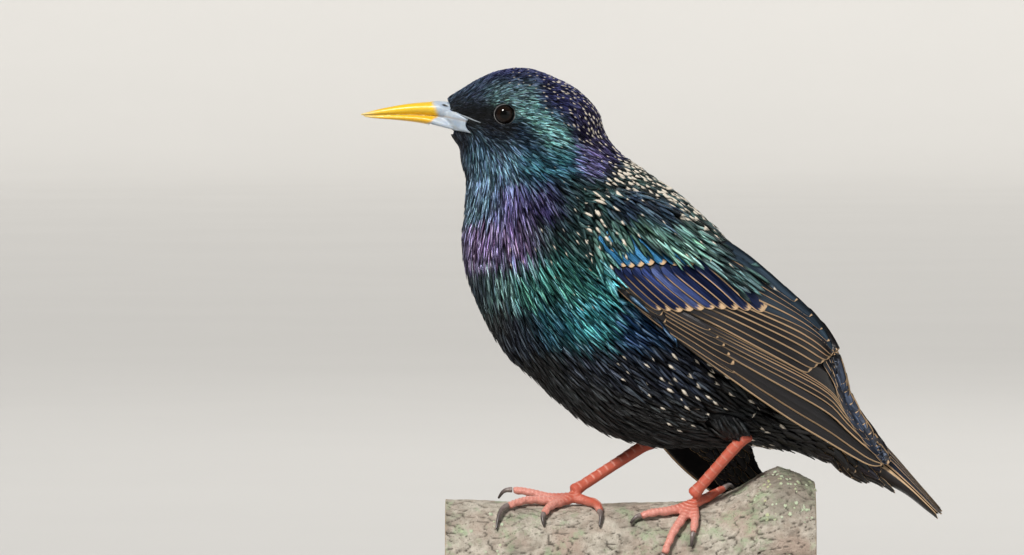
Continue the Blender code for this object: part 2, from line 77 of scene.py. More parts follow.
def length_of(name, words, millimetres):
    return FloatProperty(name=name, description=words, default=millimetres * MM, unit="LENGTH", precision=5)


class StarlingPlumage(bpy.types.PropertyGroup):
    """Sizes of the coat."""

    skin_cell: length_of("Skin cell", "Size of the cells in which the skin is fused", 0.8)
    depth_share: FloatProperty(name="Coat depth", description="Depth over feather length", default=0.15)
    wing_inset: length_of("Wing inset", "Depth of the wing's bed under its outer face", 0.9)
    swing: FloatProperty(name="Swing", description="A feather's largest turn", default=0.17, unit="ROTATION")
    patch: FloatProperty(name="Bake patch", description="Size of a feather on the bake map", default=0.003)
    seed: IntProperty(name="Seed", description="Seed of the feathers' places", default=11)


class StarlingTints(bpy.types.PropertyGroup):
    """Colours of the plumage's zones, feather marks and bare parts."""

    # Black: the lores' own black; on the belly it is also painted shade, near black and dull where the
    # underside is shaded.
    black: colour_of("Black", "Lores and belly", (0.006, 0.007, 0.009))
    forehead: colour_of("Forehead", "Steel blue", (0.12, 0.19, 0.32))
    crown: colour_of("Crown", "Violet navy", (0.050, 0.052, 0.22))
    night: colour_of("Night", "Nape", (0.030, 0.020, 0.11))
    # Painted sheen: the brow and cheek tints are paler and brighter than the plumage's own teal, for the
    # light's gloss on them.
    brow: colour_of("Brow", "Grey teal over the eye", (0.46, 0.80, 0.84))
    cheek: colour_of("Cheek", "Bright teal", (0.46, 0.98, 0.98))
    navy: colour_of("Navy", "Under the eye", (0.020, 0.055, 0.13))
    chin: colour_of("Chin", "Dim steel blue", (0.12, 0.26, 0.38))
    throat: colour_of("Throat", "Steel blue", (0.34, 0.58, 0.80))
    neck: colour_of("Neck", "Teal blue", (0.10, 0.38, 0.52))
    violet: colour_of("Violet", "Front of the neck", (0.36, 0.32, 0.72))
    mauve: colour_of("Mauve", "Upper breast", (0.46, 0.34, 0.66))
    plum: colour_of("Plum", "Sides of the neck", (0.075, 0.055, 0.22))
    bottle: colour_of("Bottle green", "Dark green of the shoulder", (0.018, 0.07, 0.075))
    green: colour_of("Green", "Breast", (0.10, 0.40, 0.37))
    sage: colour_of("Sage", "Front of the breast", (0.20, 0.36, 0.38))
    turquoise: colour_of("Turquoise", "Breast beside the wing", (0.10, 0.50, 0.58))
    deep: colour_of("Deep teal", "Lower breast", (0.02, 0.16, 0.23))
    blue: colour_of("Blue", "Front of the flank", (0.014, 0.08, 0.22))
    ink: colour_of("Ink", "Flank", (0.008, 0.015, 0.040))
    mantle: colour_of("Mantle", "Green black back", (0.025, 0.07, 0.065))
    silver: colour_of("Silver green", "Shoulder feathers", (0.22, 0.46, 0.40))
    steel: colour_of("Steel green", "Lower back", (0.10, 0.22, 0.23))
    tertial: colour_of("Tertial", "Slate blue of the innermost wing feathers", (0.030, 0.055, 0.085))
    slate: colour_of("Slate", "Rump", (0.065, 0.09, 0.15))
    sooty: colour_of("Sooty", "Under the tail and the wings", (0.022, 0.020, 0.022))
    covert: colour_of("Covert", "Navy of the greater coverts", (0.009, 0.020, 0.085))
    bright_covert: colour_of("Bright covert", "Blue of the median coverts", (0.035, 0.17, 0.34))
    flight: colour_of("Flight feather", "Brown black vanes", (0.016, 0.014, 0.016))
    buff: colour_of("Buff", "Fringes of the wing feathers", (0.62, 0.42, 0.24))
    cream: colour_of("Cream", "Spots on the feather tips", (0.84, 0.76, 0.64))
    # Painted highlight: this pale colour is mixed into the colour of the brightest feathers.
    glint: colour_of("Glint", "Pale gloss of the brightest feathers", (0.62, 0.72, 0.72))


class StarlingBareParts(bpy.types.PropertyGroup):
    """Colours of bill, eyes, legs and claws."""

    bill: colour_of("Bill", "Yellow horn", (0.88, 0.56, 0.015))
    bill_tip: colour_of("Bill tip", "Pale tip", (0.80, 0.68, 0.36))
    bill_base: colour_of("Bill base", "Blue grey horn", (0.36, 0.45, 0.56))
    gape: colour_of("Gape", "Pale skin of the gape", (0.22, 0.25, 0.28))
    eye: colour_of("Eye", "Dark brown iris", (0.006, 0.003, 0.002))
    lid: colour_of("Lid", "Grey lid", (0.045, 0.045, 0.050))
    leg: colour_of("Leg", "Coral red scutes", (0.48, 0.085, 0.038))
    leg_edge: colour_of("Scute edge", "Pink between the scutes", (0.66, 0.31, 0.24))
    claw: colour_of("Claw", "Grey horn", (0.17, 0.13, 0.12))


class StarlingPerch(bpy.types.PropertyGroup):
    """Bark, lichen and stand."""

    bark_cell: length_of("Bark cell", "Size of the bark's faces", 0.55)
    relief: length_of("Bark relief", "Depth of the bark's lumps", 0.45)
    crack_depth: length_of("Crack depth", "Depth of the bark's cracks", 0.7)
    bark: colour_of("Bark", "Grey tan", (0.36, 0.32, 0.26))
    bark_pale: colour_of("Pale bark", "Pale worn bark", (0.60, 0.55, 0.47))
    bark_dark: colour_of("Dark bark", "Cracks and pits", (0.07, 0.06, 0.045))
    lichen: colour_of("Lichen", "Pale green crust", (0.34, 0.44, 0.27))
    heartwood: colour_of("Cut wood", "Sawn ends", (0.52, 0.38, 0.22))
    base_wood: colour_of("Base wood", "Dark stained wood", (0.10, 0.045, 0.018))
    base_grain: colour_of("Base grain", "Paler grain", (0.22, 0.11, 0.045))
    crusts: FloatProperty(name="Crusts", description="Lichen crusts per square metre", default=260000.0)
    seed: IntProperty(name="Seed", description="Seed of the lichen", default=5)


class StarlingStage(bpy.types.PropertyGroup):
    """Floor, lights and camera."""

    floor: colour_of("Floor", "Pale floor", (0.60, 0.595, 0.58))
    floor_radius: FloatProperty(name="Floor", description="Radius of the floor", default=7.0, unit="LENGTH")
    key_power: FloatProperty(name="Key light", description="Strength of the main light", default=3.6)
    key_spread: FloatProperty(name="Key spread", description="Softness", default=0.22, unit="ROTATION")
    fill_power: FloatProperty(name="Fill light", description="Wide soft light", default=5.0, unit="POWER")
    back_power: FloatProperty(name="Back light", description="Behind the bird", default=7.0, unit="POWER")
    sky: FloatProperty(name="Room light", description="Strength of the room's light", default=0.16)
    lens: FloatProperty(name="Lens", description="Focal length", default=290.0, unit="CAMERA")
    distance: length_of("Distance", "From the camera to the bird", 2500.0)
    aim: FloatVectorProperty(name="Aim", description="Middle of the view", default=(-0.0388, 0.0, 0.1348))
    tilt: FloatProperty(name="Tilt", description="How far the camera looks down", default=math.radians(2.0))


class Zone(NamedTuple):
    """A soft zone of the plumage in the side view, and the feathers in it (millimetres and degrees)."""

    tract: str
    x: float
    z: float
    reach: float
    lie: float
    length: float
    width: float
    spacing: float
    tint: str
    gloss: float
    spot_gap: float = 0.0
    spot: float = 0.0
    fringe: float = 0.0


ZONE_ROWS = {
    "crown": (
        (-58.5, 189.6, 2.6, 30, 1.8, 0.42, 0.38, "forehead", 0.55),
        (-51.0, 192.6, 4.0, 30, 2.4, 0.50, 0.44, "forehead", 0.60),
        (-46.5, 195.6, 4.0, 20, 2.8, 0.55, 0.48, "crown", 0.65),
        (-36.5, 197.0, 5.5, -2, 3.2, 0.66, 0.52, "crown", 0.65, 1.8, 0.26),
        (-25.0, 193.0, 5.5, -28, 3.6, 0.82, 0.58, "crown", 0.60, 1.35, 0.34),
        (-15.5, 184.5, 5.0, -60, 4.0, 0.94, 0.66, "night", 0.55, 1.35, 0.36),
        (-28.5, 187.6, 3.6, -22, 3.4, 0.74, 0.54, "crown", 0.55, 1.7, 0.29),
        (-21.5, 181.0, 3.6, -38, 4.0, 0.86, 0.60, "night", 0.55, 1.5, 0.32),
    ),
    "face": (
        # The brow and cheek rows have low gloss, so their pale tints show as painted sheen.
        (-44.5, 190.8, 2.6, 14, 2.4, 0.48, 0.42, "brow", 0.50),
        (-37.0, 190.6, 3.4, -6, 2.8, 0.55, 0.46, "brow", 0.50),
        (-57.0, 187.0, 2.4, 5, 1.3, 0.38, 0.32, "black", 0.06),
        (-51.5, 186.2, 2.9, -2, 1.6, 0.40, 0.34, "black", 0.06),
        (-46.8, 184.8, 2.6, -6, 1.5, 0.40, 0.34, "black", 0.06),
        (-41.0, 184.4, 2.6, -4, 1.5, 0.40, 0.34, "black", 0.15),
        (-41.5, 180.2, 2.2, -12, 1.8, 0.44, 0.38, "black", 0.25),
        (-34.4, 185.6, 2.6, -2, 2.8, 0.55, 0.46, "cheek", 0.45),
        (-31.0, 182.6, 3.4, -10, 3.4, 0.62, 0.50, "cheek", 0.45),
        (-27.5, 178.2, 3.6, -26, 4.2, 0.70, 0.56, "cheek", 0.50, 6.0, 0.16),
        (-44.5, 178.8, 3.0, -22, 2.6, 0.52, 0.44, "ink", 0.45),
        (-36.0, 179.6, 3.0, -18, 3.0, 0.60, 0.50, "navy", 0.55),
        (-33.5, 175.8, 3.0, -30, 4.0, 0.70, 0.56, "navy", 0.60),
    ),
    "throat": (
        # The ink and black rows at the front edge of the throat and breast, x from -55.5 to -46, are painted
        # shade for the edge that turns away from the light.
        (-55.5, 177.4, 2.6, -62, 3.0, 0.50, 0.44, "ink", 0.40),
        (-55.0, 171.6, 3.4, -78, 5.4, 0.70, 0.58, "ink", 0.50),
        (-48.4, 173.4, 3.4, -68, 5.4, 0.72, 0.60, "chin", 0.75),
        (-42.0, 171.6, 4.0, -60, 5.8, 0.76, 0.64, "throat", 0.85),
        (-34.5, 170.6, 4.0, -46, 6.2, 0.82, 0.68, "neck", 0.80),
        (-26.0, 171.6, 3.8, -34, 6.2, 0.86, 0.72, "neck", 0.80, 5.0, 0.12),
        (-18.6, 172.4, 3.6, -40, 5.6, 0.95, 0.76, "violet", 0.60, 4.0, 0.14),
        (-11.5, 175.0, 4.0, -60, 4.8, 1.10, 0.80, "night", 0.50, 1.9, 0.34),
        (-53.4, 162.6, 3.4, -88, 8.0, 0.85, 0.74, "ink", 0.50),
        (-47.0, 162.4, 4.2, -84, 8.2, 0.88, 0.76, "throat", 0.85),
        (-40.0, 161.4, 4.2, -76, 8.2, 0.90, 0.78, "violet", 0.85),
        (-31.5, 161.6, 4.6, -60, 7.8, 0.95, 0.80, "plum", 0.65),
        (-22.5, 163.0, 4.4, -44, 7.0, 1.05, 0.84, "bottle", 0.60, 3.0, 0.18),
    ),
    "breast": (
        (-13.6, 161.4, 4.0, -44, 6.2, 1.75, 1.10, "bottle", 0.50, 1.5, 0.40),
        (-15.0, 153.0, 4.0, -52, 6.6, 1.75, 1.10, "bottle", 0.50, 1.8, 0.36),
        (-53.4, 150.6, 3.4, -88, 9.4, 1.00, 0.86, "ink", 0.50),
        (-46.6, 150.6, 4.6, -84, 9.4, 1.02, 0.88, "mauve", 0.85),
        (-38.6, 150.4, 4.6, -72, 9.2, 1.05, 0.90, "mauve", 0.75, 4.6, 0.14),
        (-30.0, 151.0, 4.4, -58, 9.0, 1.15, 0.94, "bottle", 0.60, 3.4, 0.17),
        (-21.6, 151.0, 4.4, -46, 8.6, 1.30, 1.00, "bottle", 0.60, 2.4, 0.22),
        (-50.4, 138.8, 3.6, -82, 9.8, 1.10, 0.92, "ink", 0.45),
        (-44.0, 139.4, 4.6, -74, 10.0, 1.15, 0.94, "sage", 0.75),
        (-35.0, 139.4, 5.0, -60, 10.2, 1.20, 0.98, "green", 0.80),
        (-25.0, 140.0, 5.4, -46, 10.2, 1.25, 1.00, "green", 0.85, 5.0, 0.14),
        (-12.8, 138.0, 5.0, -36, 10.6, 1.35, 1.06, "turquoise", 0.90),
        (-46.0, 127.4, 4.0, -72, 10.4, 1.25, 1.02, "black", 0.40),
        (-38.6, 124.4, 4.6, -58, 10.6, 1.30, 1.04, "ink", 0.60),
        (-29.6, 127.6, 5.0, -50, 10.6, 1.30, 1.04, "deep", 0.75),
        (-19.0, 127.0, 5.4, -42, 10.6, 1.35, 1.06, "turquoise", 0.80),
        (-7.4, 124.6, 5.4, -38, 10.8, 1.45, 1.12, "blue", 0.80),
    ),
    "belly": (
        # The belly's rows are near black with little gloss: partly the plumage's own black, partly painted
        # shade under the body.
        (-34.6, 112.6, 5.6, -50, 10.6, 1.60, 1.24, "black", 0.25),
        (-21.0, 114.6, 5.0, -43, 10.6, 1.60, 1.24, "ink", 0.50),
        (-21.0, 102.0, 6.5, -40, 10.6, 1.90, 1.40, "black", 0.22),
        (-5.0, 93.0, 8.0, -22, 10.6, 2.10, 1.50, "black", 0.20),
        (13.0, 86.0, 8.0, -8, 10.0, 2.10, 1.50, "black", 0.20),
    ),
    "flank": (
        (-7.0, 112.6, 5.6, -40, 10.6, 1.80, 1.34, "ink", 0.45, 3.9, 0.17),
        (6.0, 108.6, 6.0, -38, 10.6, 2.10, 1.42, "ink", 0.35, 3.1, 0.20),
        (18.0, 100.0, 6.6, -36, 10.6, 2.30, 1.52, "black", 0.25, 3.0, 0.22),
        (30.0, 93.0, 6.0, -30, 9.4, 2.30, 1.52, "black", 0.22, 3.3, 0.22),
        (4.0, 97.0, 5.0, -30, 10.0, 2.20, 1.50, "black", 0.22, 4.4, 0.17),
    ),
    "undertail": (
        (41.0, 86.0, 7.0, -20, 10.0, 2.60, 1.80, "sooty", 0.12, 0.0, 0.0, 0.0),
        (52.0, 81.0, 6.0, -28, 12.0, 3.40, 2.20, "sooty", 0.12, 0.0, 0.0, 0.08),
        (66.0, 75.0, 7.0, -36, 13.0, 4.00, 2.60, "sooty", 0.12, 0.0, 0.0, 0.10),
    ),
    "mantle": (
        (-3.0, 168.0, 4.6, -38, 4.8, 1.75, 1.15, "mantle", 0.40, 1.35, 0.42),
        (8.0, 161.0, 5.6, -40, 6.4, 2.05, 1.35, "mantle", 0.40, 1.55, 0.37),
        (20.0, 151.6, 6.0, -44, 8.6, 2.20, 1.50, "mantle", 0.45, 2.6, 0.22),
        (30.0, 142.6, 6.0, -48, 10.0, 2.40, 1.65, "steel", 0.50, 5.0, 0.15),
    ),
    "rump": (
        (40.0, 130.6, 7.0, -50, 9.4, 2.60, 1.75, "slate", 0.50, 0.0, 0.0, 0.06),
        (51.0, 113.0, 7.0, -54, 9.0, 3.40, 2.10, "slate", 0.50, 0.0, 0.0, 0.10),
        (62.0, 97.0, 6.0, -50, 9.0, 3.60, 2.10, "slate", 0.50, 0.0, 0.0, 0.12),
        (71.0, 87.0, 6.0, -47, 9.5, 3.60, 2.20, "slate", 0.45, 6.0, 0.10, 0.12),
    ),
    "scapulars": (
        (-8.6, 158.4, 3.2, -60, 7.0, 1.60, 1.15, "navy", 0.55, 3.4, 0.22),
        (3.0, 156.6, 3.6, -56, 9.0, 1.70, 1.20, "navy", 0.55, 4.2, 0.18),
        (-10.8, 151.0, 3.4, -62, 8.0, 1.60, 1.15, "silver", 0.70, 2.2, 0.24),
        (-9.0, 143.6, 3.8, -56, 8.0, 1.60, 1.15, "silver", 0.75, 3.4, 0.20),
        (-1.0, 149.6, 4.0, -60, 11.0, 1.80, 1.25, "silver", 0.70, 3.8, 0.16),
        (8.0, 147.4, 4.4, -58, 12.6, 2.00, 1.40, "silver", 0.65, 4.4, 0.14),
        (18.0, 143.0, 4.6, -52, 13.6, 2.20, 1.50, "steel", 0.60, 5.0, 0.12),
    ),
}
ZONES = [Zone(tract, *row) for tract, rows in ZONE_ROWS.items() for row in rows]

# The thighs and a wing's inner face have their own feathers, whatever their place.
THIGH_ZONE = Zone("thighs", 0.0, 0.0, 1.0, -62, 5.0, 1.50, 0.90, "black", 0.12)
UNDERWING_ZONE = Zone("underwing", 0.0, 0.0, 1.0, -50, 6.6, 2.80, 1.80, "sooty", 0.15, 0.0, 0.0, 0.06)

# Tracts whose feathers may grow on a wing's bed, and those that are dropped where they would climb on it.
ON_WING = ("scapulars", "mantle", "breast")
UNDER_WING = ("flank", "belly", "undertail", "thighs", "rump")
# The tail's coverts start before this x.
COVERTS_END = 66.0
# How far the thigh's feathers stand out over the top of the shank, and how close to it they do.
CUFF = 2.6
CUFF_REACH = 3.5
# Body feathers over a wing end at the first (length, breadth) shares of it, and show again past the second.
SHOULDER_EDGE = (
    (0.0, 1.10), (0.10, 1.02), (0.14, 0.88), (0.20, 0.64), (0.26, 0.50), (0.31, 0.46),
    (0.36, 0.35), (0.42, 0.31), (0.47, 0.30), (0.50, 0.10), (0.53, -0.3), (0.69, -0.3),
    (0.72, 0.28), (0.80, 0.42), (0.90, 0.60), (1.0, 0.85),
)
LOWER_EDGE = ((0.0, 0.76), (0.16, 0.80), (0.24, 0.93))

# The front of the chin (x, z), where the bill covers the skin, and half the height without feathers there.
CHIN = (-55.4, 180.4)
CHIN_GAP = 1.2
EYE_CENTRE = (-41.0, 7.6, 184.4)
EYE_RADIUS = 3.6
# How far from the eye's middle and from the bill the feathers start.
EYE_CLEAR = 3.35
BILL_CLEAR = 0.35
# Where the flank's feathers fall on the thigh (x, z) and carry no spots, and how far round it.
BY_THIGH = (22.5, 95.5)
BY_THIGH_REACH = 6.5
# Tried roots for each feather that finds room.
TRIES = 7.0
# Depth of the thighs' skin, and the largest share of a thin part's thickness that the skin may sink.
THIGH_DEPTH = 0.5
SINK_SHARE = 0.36


def zone_table():
    """The zones' columns as arrays, with each tint's colour in place of its name."""
    tints = bpy.context.scene.starling_tints
    columns = {}
    for field in Zone._fields:
        values = [getattr(zone, field) for zone in ZONES]
        columns[field] = np.array(values) if field in ("tract", "tint") else np.array(values, float)
    columns["colour"] = np.array([list(getattr(tints, name)) for name in columns["tint"]])
    return columns


def plumage_at(points):
    """Blends the zones' values at points in the side view; the nearest zone gives the tract."""
    table = zone_table()
    x = points[:, 0:1] / MM
    z = points[:, 2:3] / MM
    near = ((x - table["x"]) ** 2 + (z - table["z"]) ** 2) / table["reach"] ** 2
    weights = np.exp(-(near - near.min(1, keepdims=True)))
    weights /= weights.sum(1, keepdims=True)
    angle = np.radians(table["lie"])
    blended = ("length", "width", "spacing", "gloss", "fringe")
    found = {name: weights @ table[name] for name in blended}
    found["lie"] = np.stack([weights @ np.cos(angle), np.zeros(len(points)), weights @ np.sin(angle)], 1)
    found["colour"] = weights @ table["colour"]
    strongest = weights.argmax(1)
    for name in ("tract", "spot_gap", "spot"):
        found[name] = table[name][strongest]
    return found


def object_of(name, mesh):
    made = bpy.data.objects.new(name, mesh)
    bpy.context.scene.collection.objects.link(made)
    return made


def read(source, field, size=3):
    """One row of numbers for each item of a mesh's collection."""
    values = np.empty(len(source) * size, np.float32)
    source.foreach_get(field, values)
    return values.reshape(-1, size).astype(float)


def coordinates(mesh):
    return read(mesh.vertices, "co")


def vertex_normals(mesh):
    return read(mesh.vertex_normals, "vector")


def labels_of(mesh):
    """The number of each vertex's group of CAD nodes."""
    return read(mesh.attributes["label"].data, "value", 1)[:, 0].astype(int)


def place_vertices(mesh, points):
    mesh.vertices.foreach_set("co", points.astype(np.float32).ravel())
    mesh.update()


def store(mesh, name, kind, values):
    """Keeps one value for each vertex as an attribute."""
    fields = {"FLOAT": "value", "FLOAT_VECTOR": "vector", "FLOAT_COLOR": "color"}
    layer = mesh.attributes.get(name) or mesh.attributes.new(name, kind, "POINT")
    layer.data.foreach_set(fields[kind], np.ascontiguousarray(values, np.float32).ravel())


def mesh_of(name, shape):
    """A mesh from a closed shape, with its faces turned outwards."""
    bmesh.ops.recalc_face_normals(shape, faces=shape.faces)
    mesh = bpy.data.meshes.new(name)
    shape.to_mesh(mesh)
    shape.free()
    return mesh


def drop(mesh, *names):
    """Removes those of the named attributes that the mesh has."""
    for name in names:
        if name in mesh.attributes:
            mesh.attributes.remove(mesh.attributes[name])


def with_alpha(colours):
    return np.concatenate([colours, np.ones((len(colours), 1))], 1)


def settle(made):
    """Makes the result of the object's modifiers its own plain mesh."""
    graph = bpy.context.evaluated_depsgraph_get()
    mesh = bpy.data.meshes.new_from_object(
        made.evaluated_get(graph), preserve_all_data_layers=True, depsgraph=graph
    )
    made.modifiers.clear()
    old = made.data
    made.data = mesh
    bpy.data.meshes.remove(old)
    return made


def joined_copy(name, nodes):
    """A welded copy of some CAD nodes as a new object."""
    shape = bmesh.new()
    for node in nodes:
        shape.from_mesh(NODES[node].data)
    bmesh.ops.remove_doubles(shape, verts=shape.verts, dist=WELD)
    mesh = bpy.data.meshes.new(name)
    shape.to_mesh(mesh)
    shape.free()
    mesh.materials.clear()
    return object_of(name, mesh)


def fuse(made, cell, smoothing):
    """Turns overlapping closed shapes into one smooth skin of even faces."""
    remesh = made.modifiers.new("fuse", "REMESH")
    remesh.mode = "VOXEL"
    remesh.voxel_size = cell
    return relaxed(made, smoothing)


def relaxed(made, times):
    """Evens out the object's shape."""
    relax = made.modifiers.new("relax", "SMOOTH")
    relax.factor = 0.5
    relax.iterations = times
    return settle(made)


def tree_of(mesh_object):
    shape = bmesh.new()
    shape.from_mesh(mesh_object.data)
    tree = BVHTree.FromBMesh(shape)
    shape.free()
    return tree


def smooth_step(low, high, values):
    share = np.clip((values - low) / (high - low), 0.0, 1.0)
    return share * share * (3 - 2 * share)


def finish_piece(made, material=None, replaced=(), smooth=True):
    """Last steps of a piece: material, shading, its body and what it stands for."""
    if material:
        made.data.materials.clear()
        made.data.materials.append(material)
    if smooth:
        made.data.shade_smooth()
    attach(made, "root")
    if replaced:
        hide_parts(*replaced)
    return made


class Value:
    """An output in a node tree that can be reckoned with: each sign adds one math node."""

    def __init__(self, nodes, socket):
        self.nodes = nodes
        self.socket = socket

    def __add__(self, other):
        return self.nodes.math("ADD", self, other)

    def __sub__(self, other):
        return self.nodes.math("SUBTRACT", self, other)

    def __rsub__(self, other):
        return self.nodes.math("SUBTRACT", other, self)

    def __mul__(self, other):
        return self.nodes.math("MULTIPLY", self, other)

    def __pow__(self, other):
        return self.nodes.math("POWER", self, other)

    def __abs__(self):
        return self.nodes.math("ABSOLUTE", self)


class Nodes:
    """Adds nodes to a tree and joins them: an input takes a plain value, a socket, a Value or a node."""

    def __init__(self, tree):
        self.tree = tree

    def add(self, kind, values=None, **settings):
        node = self.tree.nodes.new(kind)
        for name, value in settings.items():
            setattr(node, name, value)
        for key, value in (values or {}).items():
            self.give(node, key, value)
        return node

    def give(self, node, key, value):
        """Sets or links an input by its number, or by its name among those in use."""
        if isinstance(key, int):
            self.feed(node.inputs[key], value)
        else:
            usable = (s for s in node.inputs if s.enabled and not s.is_unavailable)
            self.feed(next(s for s in usable if s.name == key), value)

    def feed(self, socket, value):
        if isinstance(value, bpy.types.Node):
            value = next(s for s in value.outputs if s.enabled and not s.is_unavailable)
        if isinstance(value, Value):
            value = value.socket
        if isinstance(value, bpy.types.NodeSocket):
            self.tree.links.new(value, socket)
        elif socket.type == "RGBA":
            socket.default_value = (*tuple(value)[:3], 1.0)
        else:
            socket.default_value = value

    def math(self, operation, first, second=0.0, third=0.0, clamp=False):
        values = {0: first, 1: second, 2: third}
        node = self.add("ShaderNodeMath", values, operation=operation, use_clamp=clamp)
        return Value(self, node.outputs[0])

    def sum(self, first, factor, added):
        """first * factor + added, as one node."""
        return self.math("MULTIPLY_ADD", first, factor, added)

    def step(self, value, low, high):
        """A smooth rise from 0 at low to 1 at high."""
        values = {"Value": value, "From Min": low, "From Max": high}
        node = self.add("ShaderNodeMapRange", values, interpolation_type="SMOOTHSTEP")
        return Value(self, node.outputs[0])

    def range(self, value, low, high, to_low, to_high):
        values = {"Value": value, "From Min": low, "From Max": high, "To Min": to_low, "To Max": to_high}
        return Value(self, self.add("ShaderNodeMapRange", values).outputs[0])

    def mix(self, factor, first, second, blend="MIX"):
        node = self.add("ShaderNodeMix", data_type="RGBA", blend_type=blend, clamp_factor=True)
        sockets = [node.inputs[0]] + [s for s in node.inputs if s.type == "RGBA"]
        for socket, value in zip(sockets, (factor, first, second)):
            self.feed(socket, value)
        return next(s for s in node.outputs if s.type == "RGBA")

    def lit(self, colour, light):
        """A colour times a number."""
        return self.mix(1.0, colour, self.join(light, light, light), "MULTIPLY")

    def split(self, vector):
        return [Value(self, s) for s in self.add("ShaderNodeSeparateXYZ", {0: vector}).outputs]

    def join(self, x=0.0, y=0.0, z=0.0):
        return self.add("ShaderNodeCombineXYZ", {0: x, 1: y, 2: z})

    def place(self):
        """The point's place in the object."""
        return self.add("ShaderNodeTexCoord").outputs["Object"]

    def mapped(self, vector, **values):
        return self.add("ShaderNodeMapping", {"Vector": vector, **values})

    def attribute(self, name, output="Vector"):
        return Value(self, self.add("ShaderNodeAttribute", attribute_name=name).outputs[output])

    def named(self, name, kind="FLOAT_VECTOR"):
        """A stored attribute, in geometry nodes."""
        node = self.add("GeometryNodeInputNamedAttribute", {"Name": name}, data_type=kind)
        return Value(self, node.outputs[0])

    def random(self, low, high, seed):
        values = {"Min": low, "Max": high, "Seed": seed}
        return self.add("FunctionNodeRandomValue", values, data_type="FLOAT")

    def noise(self, vector, scale, detail=3.0, rough=0.55):
        values = {"Vector": vector, "Scale": scale, "Detail": detail, "Roughness": rough}
        return Value(self, self.add("ShaderNodeTexNoise", values).outputs["Fac"])


def ends_of(tree):
    """What a new group works with: (its node helper, its inputs by name, its output node)."""
    nodes = Nodes(tree)
    given = {socket.name: Value(nodes, socket) for socket in nodes.add("NodeGroupInput").outputs}
    return nodes, given, nodes.add("NodeGroupOutput")


def new_group(name, inputs, outputs):
    """A shader node group with named sockets: (its tree, and its ends)."""
    tree = bpy.data.node_groups.new(name, "ShaderNodeTree")
    for label, kind, default in inputs:
        socket = tree.interface.new_socket(label, in_out="INPUT", socket_type="NodeSocket" + kind)
        socket.default_value = default
    for label, kind in outputs:
        tree.interface.new_socket(label, in_out="OUTPUT", socket_type="NodeSocket" + kind)
    return tree, *ends_of(tree)


def new_geometry(name, inputs):
    """A geometry node tree with named inputs: (its tree, and its ends)."""
    tree = bpy.data.node_groups.new(name, "GeometryNodeTree")
    tree.interface.new_socket("Geometry", in_out="OUTPUT", socket_type="NodeSocketGeometry")
    for label, kind in (("Geometry", "Geometry"), *inputs):
        tree.interface.new_socket(label, in_out="INPUT", socket_type="NodeSocket" + kind)
    return tree, *ends_of(tree)


def new_material(name):
    """A material with an empty Principled shader: (material, node helper, shader)."""
    material = bpy.data.materials.new(name)
    material.use_nodes = True
    nodes = Nodes(material.node_tree)
    return material, nodes, material.node_tree.nodes["Principled BSDF"]


def bump(nodes, shader, height, distance, strength=1.0):
    """Feeds a height in metres to the shader's normal."""
    made = nodes.add("ShaderNodeBump", {"Strength": strength, "Distance": distance, "Height": height})
    nodes.give(shader, "Normal", made)


